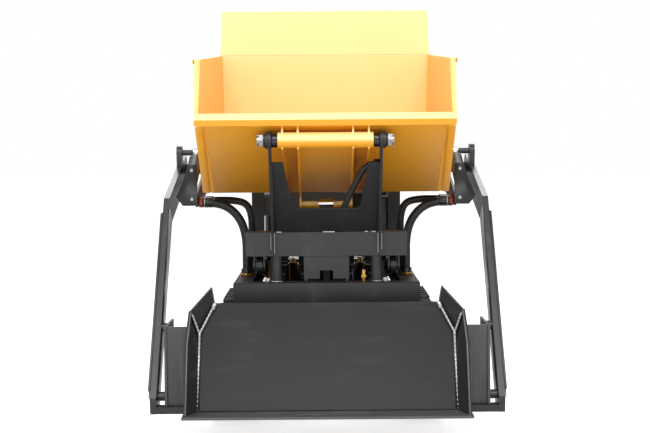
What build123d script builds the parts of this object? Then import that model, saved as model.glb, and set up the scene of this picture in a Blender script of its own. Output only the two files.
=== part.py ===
from build123d import *
from math import asin, atan2, cos, degrees, hypot, pi, radians, sin, sqrt, tan
import os

# Compact site dumper on rubber tracks: a skip that tips forwards, carried on a scissor lift,
# with a self-loading shovel on two bent arms in front and the engine and controls behind.
# Lengths are millimetres. Forward is -Y, +Z is up, and the origin is on the floor
# under the middle of the machine.

# Fits shared by the whole machine
seat_gap = 0.3          # between pieces that only rest against each other
pin_gap = 0.05          # radial running clearance of a pin in its bore
face_gap = 0.5          # beside a rod's eye, and beside a thrust face

# Tracks and what they run on
track_width = 180
track_centre_x = 298
track_height = 350
track_pitch = 60
belt_thickness = 20
lug_height = 22
lug_foot = 32
lug_crown = 20
lug_width = 112
idler_y = -533
idler_radius = 68
roller_radius = 33
roller_ys = (-400, -240, -80, 80, 240)
top_roller_y = -20
top_roller_radius = 28
sprocket_y = 285
sprocket_radius = 92
sprocket_width = 40
sprocket_teeth = 12
wheel_inner = 30        # a wheel's two halves stand this far from the track's middle
wheel_outer = 75
wheel_chamfer = 4
wheel_rim_wall = 9
wheel_hub_wall = 6
wheel_dish = 10
axle_radius = 10
track_beam_width = 46
track_beam_bottom = 58
track_beam_top = 170
motor_radius = 54
motor_plate_near = 208
motor_plate_far = 218

# Chassis
chassis_half_width = 310
chassis_bottom = 385
chassis_top = 465
rail_width = 60
rail_wall = 8
rail_rear = 760
beam_front = -580
beam_rear = -510
crossbar_size = 60
crossbar_ys = (-400, 120)
leg_inset = 122         # from the rail's outer face to the leg's inner face
leg_x = chassis_half_width - leg_inset
leg_thickness = 10
deck_front = 430
deck_thickness = 8
eye_thickness = 12
eye_width = 56
eye_reach = 32          # from the rail's end to the middle of the tie-down bore
eye_bore_radius = 13

# Scissor lift
arm_length = 740        # between the end pins
arm_depth = 56
arm_thickness = 20
arm_rail_gap = 13       # from the chassis rail to the outer arm
arm_gap = 12            # between the inner and the outer arm
outer_arm_x = chassis_half_width - rail_width - arm_rail_gap - arm_thickness
inner_arm_x = outer_arm_x - arm_gap - arm_thickness
scissor_pin_y = -475
scissor_rest_rise = 91  # height of the upper front pin over the lower one at rest
scissor_pin_radius = 15
lug_thickness = 6
pin_lug_radius = 26

# Lift frame
crossbeam_size = 80
crossbeam_half_width = 270
crossbeam_front = -533
crossbeam_bottom = 551
lift_rail_width = 34
lift_rail_arm_gap = 5
lift_rail_far = inner_arm_x - lift_rail_arm_gap
lift_rail_near = lift_rail_far - lift_rail_width
lift_rail_depth = 60
lift_rail_rear = 330
stop_post_radius = 17
stop_post_x = 166
post_near = 175
brace_foot = 8           # the plate between the posts, measured up along its lean
brace_height = 288
brace_horn = 38
brace_notch_side = 62
brace_notch_shoulder = 112
brace_notch_corner = 74
brace_notch_foot = 103
post_thickness = 8
cradle_near = 68
cradle_thickness = 8
cradle_slot_half = 22
cradle_slot_top = 502
cradle_bottom = chassis_top + 9
cradle_bend_y = -440
cradle_rear = -6
cradle_round = 36

# Skip
skip_pivot = (-705, 938)
skip_pin_radius = 12
hinge_tube_radius = 25.5
hinge_tube_half = 152.5
gusset_xs = (88, 138)
gusset_thickness = 6
skip_wall = 4
skip_floor_z = 758
skip_floor_front = -372
skip_floor_rear = 330
skip_lip = (-735, 1004)
skip_side_front = (-543, 1207)
skip_rear_rim = (385, 1280)
skip_floor_half = 397
skip_rim_half = 420
lip_half = 416
rim_flange = 20
rim_drop = 15
rim_sheet = 3
headboard_top = (415, 1459)
headboard_half_foot = 422
headboard_half_top = 415
rib_depth = 45
rib_width = 26
rib_inset = 4
rib_far = lift_rail_far - rib_inset
rib_near = rib_far - rib_width

# Tip cylinder, two stages, from the lift frame to the skip's floor
tip_base = (-110, 430)
tip_eye = (-388, 716)
tip_eye_radius = 20
tip_barrel_radius = 36
tip_stage_radius = 27
tip_rod_radius = 18
tip_stage_length = 300

# Lift cylinders, from the front crossbar to the inner scissor arms
lift_base = (-400, 230)
lift_arm_reach = 520
lift_cylinder_inset = 60    # from the inner arm to the cylinder's middle
lift_cylinder_x = inner_arm_x - lift_cylinder_inset
lift_eye_half = 20
lift_barrel_radius = 30
lift_rod_radius = 16

# Loader: two side arms, the shovel and its wings
loader_pivot = (180, 830)
loader_arm_near = 544
loader_arm_thickness = 20
loader_arm_depth = 100
loader_pin_radius = 15
pivot_boss_radius = 20   # the boom cylinder's rod passes over it with the arms right up
loader_bend = (-356, 740)
loader_foot = (-783, 124)
loader_heel_z = 72
shovel_sheet = 8
shovel_back_top = (-745, 422)
shovel_back_middle = (-790, 262)
shovel_back_foot = (-865, 100)
shovel_half_foot = 398
shovel_half_fork = 402
shovel_fork = (-765, 326)
shovel_half_top = 355
shovel_side_foot = (434, -935, 100)
shovel_side_corner = (435, -850, 307)
shovel_side_top = (428, -785, 405)
shovel_ear = (364, -754, 475)
shovel_plate = 6
cutting_edge_front = -955
cutting_edge_half = 445
cutting_edge_thickness = 8
rib_xs = (120, 335)
carrier_front = -800
carrier_rear = -760
carrier_bottom = 78
carrier_top = 100
wing_y = -770
wing_near = 428
wing_far = 515
wing_thickness = 8
wing_bottom = 101
wing_top = 352
wing_step_near = 339.3
wing_step_top = 236
wing_bolts = ((-735, 122), (-612, 326))

# Loader cylinders, from the cheek plates to the arms
boom_base = (-300, 735)
boom_eye = (54, 894)
boom_cylinder_x = 488
boom_eye_half = 12
boom_barrel_radius = 24
boom_rod_radius = 14
boom_pin_radius = 11
cheek_near = 448
cheek_thickness = 8

# Hoses, one a side, from a cheek plate's port down to the chassis rail
hose_radius = 15
hose_y = -300
hose_port_z = 722

# Rear machinery
gantry_y = 432
gantry_size = 50
gantry_inset = 5
gantry_x = chassis_half_width - gantry_inset - gantry_size
gantry_top = 820
engine_front = 520
engine_rear = 680
engine_left = -190
engine_right = 90
engine_top = 720
fin_count = 7
fin_pitch = 15
fin_depth = 34
fin_thickness = 5
fan_radius = 104
fan_depth = 34
starter_radius = 70
starter_depth = 22
fuel_tank_width = 236
fuel_tank_depth = 160
fuel_tank_height = 96
filler_radius = 30
muffler_width = 70
muffler_depth = 150
muffler_height = 96
cleaner_width = 84
cleaner_depth = 150
cleaner_height = 110
tank_x = 245
tank_y = 610
tank_width = 118
tank_depth = 230
tank_height = 230
console_y = 726
console_top = 960
console_half_width = 150
console_front = 40
console_back = 30
console_height = 80
console_slope = 30
console_leg_width = 25
console_leg_depth = 12
lever_count = 5
lever_pitch = 46
lever_length = 100
lever_radius = 5
knob_radius = 13
handle_inset = 60
handle_x = chassis_half_width - handle_inset
handle_foot_y = 742
handle_radius = 16
handle_top = 1010
grip_end = 955
grip_length = 100


# Helpers: each draws in side view, along Y and Z, and works between two X positions
def side_span(side, near, far):
    """The lower and upper X of a piece between near and far on one side of the machine."""
    return (side * near, side * far) if side > 0 else (side * far, side * near)


def plate(points, x_from, x_to, mode=Mode.ADD):
    """A flat plate square to X, from its outline in Y and Z."""
    with BuildSketch(Plane.YZ.offset(x_from)) as outline:
        with BuildLine():
            Polyline(*points, close=True)
        make_face()
    extrude(outline.sketch, amount=x_to - x_from, mode=mode)


def rod_x(point, radius, x_from, x_to, mode=Mode.ADD):
    """A round bar or hole along X."""
    with BuildSketch(Plane.YZ.offset(x_from)) as outline:
        with Locations(point):
            Circle(radius)
    extrude(outline.sketch, amount=x_to - x_from, mode=mode)


def hex_nut(point, across_flats, x_from, x_to):
    """A six-sided nut on an axis along X."""
    with BuildSketch(Plane.YZ.offset(x_from)) as outline:
        with Locations(point):
            RegularPolygon(across_flats / 2, 6, major_radius=False)
    extrude(outline.sketch, amount=x_to - x_from)


def block(x_from, x_to, y_from, y_to, z_from, z_to, mode=Mode.ADD):
    """A rectangular block between six faces."""
    with Locations(((x_from + x_to) / 2, (y_from + y_to) / 2, (z_from + z_to) / 2)):
        Box(x_to - x_from, y_to - y_from, z_to - z_from, mode=mode)


def slot_plate(start, end, width, x_from, x_to, mode=Mode.ADD):
    """A flat bar with round ends between two points of the side view."""
    rise, run = end[1] - start[1], end[0] - start[0]
    with BuildSketch(Plane.YZ.offset(x_from)) as outline:
        with Locations(((start[0] + end[0]) / 2, (start[1] + end[1]) / 2)):
            SlotCenterToCenter(hypot(run, rise), width, rotation=degrees(atan2(rise, run)))
    extrude(outline.sketch, amount=x_to - x_from, mode=mode)


def along(start, end, distance):
    """The point at a distance from start on the line to end."""
    length = hypot(end[0] - start[0], end[1] - start[1])
    share = distance / length
    return (start[0] + share * (end[0] - start[0]), start[1] + share * (end[1] - start[1]))


def strut(start, end, radius, x, near, far, mode=Mode.ADD):
    """A round bar on the line from start to end, between two distances from start, at one X."""
    low = along(start, end, near)
    direction = (0, end[0] - start[0], end[1] - start[1])
    with BuildSketch(Plane(origin=(x, low[0], low[1]), x_dir=(1, 0, 0), z_dir=direction)) as ring:
        Circle(radius)
    extrude(ring.sketch, amount=far - near, mode=mode)


def distance(start, end):
    return hypot(end[0] - start[0], end[1] - start[1])


def unit(start, end):
    """The direction from one side-view point to another."""
    length = distance(start, end)
    return ((end[0] - start[0]) / length, (end[1] - start[1]) / length)


def turned(point, centre, angle):
    """A side-view point turned about a centre, degrees from +Y towards +Z."""
    y, z = point[0] - centre[0], point[1] - centre[1]
    c, s = cos(radians(angle)), sin(radians(angle))
    return (centre[0] + y * c - z * s, centre[1] + y * s + z * c)


# Places worked out from the sizes
belt_wrap = seat_gap + belt_thickness + lug_height
idler_centre = (idler_y, idler_radius + belt_wrap)
roller_z = roller_radius + belt_wrap
top_roller_centre = (top_roller_y, track_height - top_roller_radius - belt_wrap)
sprocket_centre = (sprocket_y, track_height - sprocket_radius - belt_wrap)
crossbar_top = track_beam_top
crossbar_bottom = crossbar_top - crossbar_size
track_near = track_centre_x - track_width / 2

low_pin = (scissor_pin_y, (chassis_bottom + chassis_top) / 2)
high_pin = (scissor_pin_y, low_pin[1] + scissor_rest_rise)
rest_angle = degrees(asin(scissor_rest_rise / arm_length))
high_roller = turned((low_pin[0] + arm_length, low_pin[1]), low_pin, rest_angle)
low_roller = (high_roller[0], low_pin[1])
centre_pin = ((low_pin[0] + high_roller[0]) / 2, (low_pin[1] + high_roller[1]) / 2)
lift_eye = along(low_pin, high_roller, lift_arm_reach)
crossbeam_top = crossbeam_bottom + crossbeam_size
crossbeam_rear = crossbeam_front + crossbeam_size
lift_rail_top = crossbeam_bottom + lift_rail_depth


# Track: one fixed loop of belt and lugs round the wheels
def belt_corners(growth):
    """Tangent points of a belt round the wheels, wheel by wheel, counter-clockwise."""
    wheels = [
        (*idler_centre, idler_radius + growth),
        (roller_ys[-1], roller_z, roller_radius + growth),
        (*sprocket_centre, sprocket_radius + growth),
        (*top_roller_centre, top_roller_radius + growth),
    ]
    normals = []
    for i, (y, z, r) in enumerate(wheels):
        next_y, next_z, next_r = wheels[(i + 1) % len(wheels)]
        gap = hypot(next_y - y, next_z - z)
        along_y, along_z = (next_y - y) / gap, (next_z - z) / gap
        lean = (r - next_r) / gap
        side = sqrt(1 - lean * lean)
        normals.append((lean * along_y + side * along_z, lean * along_z - side * along_y))
    corners = []
    for i, (y, z, r) in enumerate(wheels):
        n_in, n_out = normals[i - 1], normals[i]
        middle = (n_in[0] + n_out[0], n_in[1] + n_out[1])
        size = hypot(*middle)
        corners.append([(y + r * n[0], z + r * n[1])
                        for n in (n_in, (middle[0] / size, middle[1] / size), n_out)])
    return corners


def draw_belt(growth):
    """Draws the belt's line in the open BuildLine."""
    corners = belt_corners(growth)
    for i, (start, middle, end) in enumerate(corners):
        ThreePointArc(start, middle, end)
        Line(end, corners[(i + 1) % len(corners)][0])


def lug_outlines(first):
    """Outlines of one row of lugs, the first of them a share of a pitch along the belt."""
    with BuildLine() as belt:
        draw_belt(seat_gap + belt_thickness)
    loop = Wire(belt.edges())
    count = round(loop.length / track_pitch)
    step = loop.length / count
    outlines = []
    for i in range(count):
        place = (i + first) * step
        foot = loop.position_at(place, position_mode=PositionMode.LENGTH)
        run = loop.tangent_at(place, position_mode=PositionMode.LENGTH)
        out = Vector(run.Y, -run.X)
        root = foot - out * (belt_thickness / 4)
        crown = foot + out * lug_height
        outlines.append([root - run * lug_foot / 2, root + run * lug_foot / 2,
                         crown + run * lug_crown / 2, crown - run * lug_crown / 2])
    return outlines


def lug_row(first, x_from, x_to):
    with BuildSketch(Plane.YZ.offset(x_from)) as row:
        for outline in lug_outlines(first):
            with BuildLine():
                Polyline(*[(p.X, p.Y) for p in outline], close=True)
            make_face()
    extrude(row.sketch, amount=x_to - x_from)


def make_track(side, name):
    x_low, x_high = side_span(side, track_near, track_near + track_width)
    with BuildPart() as track:
        with BuildSketch(Plane.YZ.offset(x_low)) as band:
            with BuildLine():
                draw_belt(seat_gap + belt_thickness)
            make_face()
            with BuildLine():
                draw_belt(seat_gap)
            make_face(mode=Mode.SUBTRACT)
        extrude(amount=track_width)
        lug_row(0, x_low, x_low + lug_width)
        lug_row(0.5, x_high - lug_width, x_high)
    write(track, name)


def write(piece, name):
    piece.part.label = name
    export_step(piece.part, f"parts/{name}.step")


def twin_wheel(centre, radius, x):
    """Two turned wheel halves on one axle, a half each side of the track's beam."""
    bore = axle_radius + pin_gap
    hub = bore + wheel_hub_wall
    rim = radius - wheel_rim_wall
    half_profile = [
        (wheel_inner, bore), (wheel_inner, radius - wheel_chamfer), (wheel_inner + wheel_chamfer, radius),
        (wheel_outer - wheel_chamfer, radius), (wheel_outer, radius - wheel_chamfer), (wheel_outer, rim),
        (wheel_outer - wheel_dish, rim), (wheel_outer - wheel_dish, hub), (wheel_outer, hub),
        (wheel_outer, bore)]
    middle = (x, *centre)
    with BuildSketch(Plane(origin=middle, x_dir=(1, 0, 0), z_dir=(0, 0, 1))) as profile:
        for half in (-1, 1):
            with BuildLine():
                Polyline(*[(half * across, out) for across, out in half_profile], close=True)
            make_face()
    revolve(profile.sketch, axis=Axis(middle, (1, 0, 0)))


def make_track_wheels(side, name):
    x = side * track_centre_x
    with BuildPart() as wheels:
        twin_wheel(idler_centre, idler_radius, x)
        for y in roller_ys:
            twin_wheel((y, roller_z), roller_radius, x)
        twin_wheel(top_roller_centre, top_roller_radius, x)
    write(wheels, name)


def make_track_frame(side, name):
    x = side * track_centre_x
    half = track_beam_width / 2
    plate_low, plate_high = side_span(side, motor_plate_near, motor_plate_far)
    with BuildPart() as frame:
        nose_y = roller_ys[0] - 40
        rear_y = sprocket_y - sprocket_radius - 12
        plate([(nose_y, track_beam_bottom), (rear_y, track_beam_bottom), (rear_y, track_beam_top - 40),
               (rear_y - 40, track_beam_top), (nose_y, track_beam_top)], x - half, x + half)
        slot_plate(idler_centre, (nose_y + 20, idler_centre[1]), 64, x - half, x + half)
        slot_plate(top_roller_centre, (top_roller_y, track_beam_top - 20), 40, x - half, x + half)
        slot_plate((rear_y - 20, track_beam_bottom + 20), (roller_ys[-1], roller_z), 30, x - half, x + half)
        motor_arm_low, motor_arm_high = side_span(side, motor_plate_far, track_centre_x - half)
        arm_front = crossbar_ys[1] + crossbar_size / 2 + seat_gap
        block(motor_arm_low, motor_arm_high, arm_front, rear_y - 2, 116, 160)
        with BuildSketch(Plane.YZ.offset(plate_low)) as motor_plate:
            with Locations(sprocket_centre):
                Circle(motor_radius + 14)
            with BuildLine():
                Polyline((arm_front, 112), (rear_y + 20, 112), (sprocket_y + 30, sprocket_centre[1] - 60),
                         (sprocket_y - 30, sprocket_centre[1] + 60), (arm_front, track_beam_top), close=True)
            make_face()
        extrude(motor_plate.sketch, amount=plate_high - plate_low)
        motor_end = track_centre_x - sprocket_width / 2 - seat_gap
        motor_low, motor_high = side_span(side, motor_plate_far, motor_end)
        rod_x(sprocket_centre, motor_radius, motor_low, motor_high)
        for centre in (idler_centre, top_roller_centre, *[(y, roller_z) for y in roller_ys]):
            rod_x(centre, axle_radius, x - wheel_outer - 4, x + wheel_outer + 4)
    write(frame, name)


def make_sprockets():
    with BuildPart() as sprockets:
        for side in (-1, 1):
            x = side * track_centre_x
            half = sprocket_width / 2
            with BuildSketch(Plane.YZ.offset(x - half)) as disc:
                with Locations(sprocket_centre):
                    Circle(sprocket_radius)
                    with PolarLocations(sprocket_radius, sprocket_teeth):
                        Circle(9, mode=Mode.SUBTRACT)
                    with PolarLocations(sprocket_radius * 0.6, 6):
                        Circle(13, mode=Mode.SUBTRACT)
            extrude(disc.sketch, amount=sprocket_width)
            hub_low, hub_high = side_span(side, track_centre_x + half, track_centre_x + half + 38)
            rod_x(sprocket_centre, 40, hub_low, hub_high)
    write(sprockets, "sprockets")


# Chassis
def make_crossbars():
    half = track_centre_x - track_beam_width / 2 - seat_gap
    with BuildPart() as bars:
        for y in crossbar_ys:
            block(-half, half, y - crossbar_size / 2, y + crossbar_size / 2, crossbar_bottom, crossbar_top)
            for side in (-1, 1):
                low, high = side_span(side, leg_x, leg_x + leg_thickness)
                block(low, high, y - 50, y + 50, crossbar_bottom, chassis_bottom - seat_gap)
                foot_low, foot_high = side_span(side, leg_x, chassis_half_width - 14)
                block(foot_low, foot_high, y - 50, y + 50,
                      chassis_bottom - leg_thickness - seat_gap, chassis_bottom - seat_gap)
        for side in (-1, 1):
            for near in (lift_cylinder_x - lift_eye_half - face_gap - lug_thickness,
                         lift_cylinder_x + lift_eye_half + face_gap):
                low, high = side_span(side, near, near + lug_thickness)
                slot_plate(lift_base, (lift_base[0], crossbar_top), 56, low, high)
            pin_half = lift_eye_half + 2 * lug_thickness
            low, high = side_span(side, lift_cylinder_x - pin_half, lift_cylinder_x + pin_half)
            rod_x(lift_base, skip_pin_radius, low, high)
    write(bars, "undercarriage_crossbars")


def make_front_beam():
    with BuildPart() as beam:
        block(-chassis_half_width, chassis_half_width, beam_front, beam_rear, chassis_bottom, chassis_top)
        post_y = (beam_rear + crossbeam_front) / 2
        for side in (-1, 1):
            with BuildSketch(Plane.XY.offset(chassis_top)) as foot:
                with Locations((side * stop_post_x, post_y)):
                    Circle(stop_post_radius)
            extrude(foot.sketch, amount=crossbeam_bottom - seat_gap - chassis_top)
            for near in (inner_arm_x - 4 - lug_thickness, inner_arm_x + arm_thickness + 4):
                low, high = side_span(side, near, near + lug_thickness)
                block(low, high, beam_rear, low_pin[0], low_pin[1] - pin_lug_radius,
                      low_pin[1] + pin_lug_radius)
                rod_x(low_pin, pin_lug_radius, low, high)
        reach = inner_arm_x + arm_thickness + 4 + lug_thickness + 2
        rod_x(low_pin, scissor_pin_radius, -reach, reach)
    write(beam, "front_base_beam")


def make_chassis_rail(side, name):
    low, high = side_span(side, chassis_half_width - rail_width, chassis_half_width)
    cut_low, cut_high = side_span(side, chassis_half_width - rail_width - 1,
                                  chassis_half_width - rail_wall)
    with BuildPart() as rail:
        block(low, high, beam_rear + seat_gap, rail_rear, chassis_bottom, chassis_top)
        block(cut_low, cut_high, beam_rear, rail_rear + 1, chassis_bottom + rail_wall,
              chassis_top - rail_wall, mode=Mode.SUBTRACT)
    write(rail, name)


def make_engine_deck():
    inner = chassis_half_width - rail_width - seat_gap
    with BuildPart() as deck:
        block(-chassis_half_width, chassis_half_width, deck_front, rail_rear, chassis_top + seat_gap,
              chassis_top + seat_gap + deck_thickness)
        for y in (deck_front + 10, rail_rear - 50):
            block(-inner, inner, y, y + 40, chassis_bottom, chassis_top + seat_gap)
    write(deck, "engine_deck")


def make_tie_down_eyes():
    """Lug plates on the rails' rear ends, for a shackle or a strap hook."""
    middle_z = (chassis_bottom + chassis_top) / 2
    root = (rail_rear + seat_gap + eye_width / 2, middle_z)
    centre = (rail_rear + seat_gap + eye_reach, middle_z)
    with BuildPart() as eyes:
        for side in (-1, 1):
            low, high = side_span(side, chassis_half_width - eye_thickness, chassis_half_width)
            block(low, high, rail_rear + seat_gap, centre[0], middle_z - eye_width / 2,
                  middle_z + eye_width / 2)
            slot_plate(root, centre, eye_width, low, high)
            rod_x(centre, eye_bore_radius, low, high, mode=Mode.SUBTRACT)
    write(eyes, "tie_down_eyes")


deck_top = chassis_top + seat_gap + deck_thickness


def make_gantry():
    with BuildPart() as uprights:
        for side in (-1, 1):
            low, high = side_span(side, gantry_x, gantry_x + gantry_size)
            block(low, high, gantry_y, gantry_y + gantry_size, deck_top, gantry_top - gantry_size - seat_gap)
    write(uprights, "gantry_uprights")
    with BuildPart() as tube:
        block(-cheek_near + seat_gap, cheek_near - seat_gap, gantry_y, gantry_y + gantry_size,
              gantry_top - gantry_size, gantry_top)
    write(tube, "gantry_cross_tube")


def make_cheeks():
    y_rear = gantry_y + gantry_size + 10
    with BuildPart() as cheeks:
        for side in (-1, 1):
            low, high = side_span(side, cheek_near, cheek_near + cheek_thickness)
            plate([(y_rear, gantry_top - 80), (y_rear, gantry_top + 10),
                   (loader_pivot[0] + 60, loader_pivot[1] + 42), (loader_pivot[0] - 60, loader_pivot[1] + 42),
                   (boom_base[0], boom_base[1] + 30), (boom_base[0] - 30, boom_base[1] + 20),
                   (boom_base[0] - 30, boom_base[1] - 28), (loader_pivot[0] - 100, loader_pivot[1] - 80)],
                  low, high)
            boss_low, boss_high = side_span(side, cheek_near + cheek_thickness, loader_arm_near - face_gap)
            rod_x(loader_pivot, pivot_boss_radius, boss_low, boss_high)
            arm_far = loader_arm_near + loader_arm_thickness
            pin_low, pin_high = side_span(side, loader_arm_near - face_gap, arm_far + face_gap)
            rod_x(loader_pivot, loader_pin_radius, pin_low, pin_high)
            cap_low, cap_high = side_span(side, arm_far + face_gap, arm_far + 8)
            rod_x(loader_pivot, 24, cap_low, cap_high)
            eye_low = boom_cylinder_x - boom_eye_half
            stub_low, stub_high = side_span(side, cheek_near + cheek_thickness, eye_low - face_gap)
            rod_x(boom_base, 20, stub_low, stub_high)
            eye_high = boom_cylinder_x + boom_eye_half
            pin_low, pin_high = side_span(side, eye_low - face_gap, eye_high + face_gap)
            rod_x(boom_base, boom_pin_radius, pin_low, pin_high)
            head_low, head_high = side_span(side, eye_high + face_gap, eye_high + 7)
            rod_x(boom_base, 17, head_low, head_high)
    write(cheeks, "loader_cheeks")


# Scissor arms
def make_scissor_arms():
    tube_radius = 20
    tube_place = along(low_pin, high_roller, arm_length - 50)
    with BuildPart() as inner:
        for side in (-1, 1):
            low, high = side_span(side, inner_arm_x, inner_arm_x + arm_thickness)
            slot_plate(low_pin, high_roller, arm_depth, low, high)
            rod_x(low_pin, scissor_pin_radius + pin_gap, low, high, mode=Mode.SUBTRACT)
            stub_low, stub_high = side_span(side, lift_cylinder_x + lift_eye_half + face_gap, inner_arm_x)
            rod_x(lift_eye, skip_pin_radius, stub_low, stub_high)
            roller_low, roller_high = side_span(side, inner_arm_x - 30, inner_arm_x)
            rod_x(high_roller, crossbeam_bottom - high_pin[1] - face_gap, roller_low, roller_high)
            pin_low, pin_high = side_span(side, inner_arm_x + arm_thickness, outer_arm_x + arm_thickness + 6)
            rod_x(centre_pin, scissor_pin_radius, pin_low, pin_high)
        rod_x(tube_place, tube_radius, -inner_arm_x, inner_arm_x)
    write(inner, "scissor_arms_inner")
    rail_web = chassis_half_width - rail_wall
    with BuildPart() as outer:
        for side in (-1, 1):
            low, high = side_span(side, outer_arm_x, outer_arm_x + arm_thickness)
            slot_plate(high_pin, low_roller, arm_depth, low, high)
            rod_x(high_pin, scissor_pin_radius + pin_gap, low, high, mode=Mode.SUBTRACT)
            rod_x(centre_pin, scissor_pin_radius + pin_gap, low, high, mode=Mode.SUBTRACT)
            roller_low, roller_high = side_span(side, outer_arm_x + arm_thickness, rail_web - 6)
            rod_x(low_roller, rail_inner_half - face_gap, roller_low, roller_high)
        rod_x(low_roller, tube_radius, -outer_arm_x, outer_arm_x)
    write(outer, "scissor_arms_outer")


rail_inner_half = (chassis_top - chassis_bottom) / 2 - rail_wall


# Lift frame
def make_crossbeam():
    with BuildPart() as beam:
        block(-crossbeam_half_width, crossbeam_half_width, crossbeam_front, crossbeam_rear,
              crossbeam_bottom, crossbeam_top)
        for side in (-1, 1):
            for near in (outer_arm_x - 4 - lug_thickness, outer_arm_x + arm_thickness + 4):
                low, high = side_span(side, near, near + lug_thickness)
                slot_plate(high_pin, (high_pin[0], crossbeam_bottom + 20), 52, low, high)
            low, high = side_span(side, outer_arm_x - 4 - lug_thickness,
                                  outer_arm_x + arm_thickness + 6 + lug_thickness)
            rod_x(high_pin, scissor_pin_radius, low, high)
    write(beam, "lift_crossbeam")


def make_lift_rails():
    with BuildPart() as rails:
        for side in (-1, 1):
            low, high = side_span(side, lift_rail_near, lift_rail_far)
            block(low, high, crossbeam_rear + seat_gap, lift_rail_rear, crossbeam_bottom, lift_rail_top)
            post_low, post_high = side_span(side, rib_near, rib_far)
            block(post_low, post_high, lift_rail_rear - 80, lift_rail_rear - 20, lift_rail_top,
                  skip_floor_z - rib_depth - seat_gap)
    write(rails, "lift_side_rails")
    reach = lift_rail_near - seat_gap
    with BuildPart() as tubes:
        for y in (-60, lift_rail_rear - crossbar_size):
            block(-reach, reach, y, y + crossbar_size, crossbeam_bottom, lift_rail_top)
    write(tubes, "lift_cross_tubes")


def make_tip_cradle():
    with BuildPart() as cradle:
        roof = crossbeam_bottom - seat_gap
        front_low, front_high = crossbeam_front + 5, crossbeam_front + 5 + cradle_thickness
        for side in (-1, 1):
            low, high = side_span(side, cradle_near, cradle_near + cradle_thickness)
            plate([(front_low, roof), (front_low, cradle_bottom), (cradle_bend_y, cradle_bottom),
                   (tip_base[0] - cradle_round, tip_base[1] - cradle_round),
                   (tip_base[0] + cradle_round, tip_base[1] - cradle_round), (cradle_rear, roof)], low, high)
        block(-cradle_near, cradle_near, front_low, front_high, cradle_bottom, roof)
        block(-cradle_slot_half, cradle_slot_half, front_low, front_high, cradle_bottom, cradle_slot_top,
              mode=Mode.SUBTRACT)
        pin_half = cradle_near + cradle_thickness + 4
        rod_x(tip_base, skip_pin_radius, -pin_half, pin_half)
    write(cradle, "tip_cradle")


post_lean = (skip_pivot[0] - crossbeam_front - 40, skip_pivot[1] - crossbeam_top)
post_run = hypot(*post_lean)
post_way = (post_lean[0] / post_run, post_lean[1] / post_run)
post_round = 30


def make_skip_posts():
    rear_tangent = (skip_pivot[0] + post_round * post_way[1], skip_pivot[1] - post_round * post_way[0])
    front_tangent = (skip_pivot[0] - post_round * post_way[1], skip_pivot[1] + post_round * post_way[0])
    with BuildPart() as posts:
        for side in (-1, 1):
            low, high = side_span(side, post_near, post_near + post_thickness)
            plate([(crossbeam_front - seat_gap, crossbeam_bottom + 8),
                   (crossbeam_front - seat_gap, crossbeam_top + seat_gap),
                   (crossbeam_rear - 12, crossbeam_top + seat_gap), rear_tangent, front_tangent,
                   (crossbeam_front - 36, crossbeam_top + 20), (crossbeam_front - 26, crossbeam_bottom + 8)],
                  low, high)
            rod_x(skip_pivot, post_round, low, high)
            boss_low, boss_high = side_span(side, post_near - 3, post_near + post_thickness + 9)
            rod_x(skip_pivot, 27, boss_low, boss_high)
            rod_x(skip_pivot, skip_pin_radius + pin_gap, boss_low, boss_high, mode=Mode.SUBTRACT)
    write(posts, "skip_posts")
    with BuildPart() as brace:
        half = post_near - seat_gap
        lean_plane = Plane(origin=(0, crossbeam_front + 12, crossbeam_top + seat_gap), x_dir=(1, 0, 0),
                           z_dir=(0, -post_way[1], post_way[0]))
        with BuildSketch(lean_plane) as face:
            with BuildLine():
                right_half = [(half, brace_foot), (half, brace_height), (half - brace_horn, brace_height),
                              (half - brace_notch_side, brace_notch_shoulder),
                              (half - brace_notch_corner, brace_notch_foot)]
                Polyline(*right_half, *[(-x, z) for x, z in reversed(right_half)], close=True)
            make_face()
        extrude(face.sketch, amount=post_thickness)
    write(brace, "skip_post_brace")
    with BuildPart() as pin:
        reach = post_near + post_thickness + 9 + seat_gap
        rod_x(skip_pivot, skip_pin_radius, -reach - 26, reach + 26)
        for side in (-1, 1):
            low, high = side_span(side, reach, reach + 20)
            hex_nut(skip_pivot, 36, low, high)
    write(pin, "skip_pivot_pin")


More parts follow.
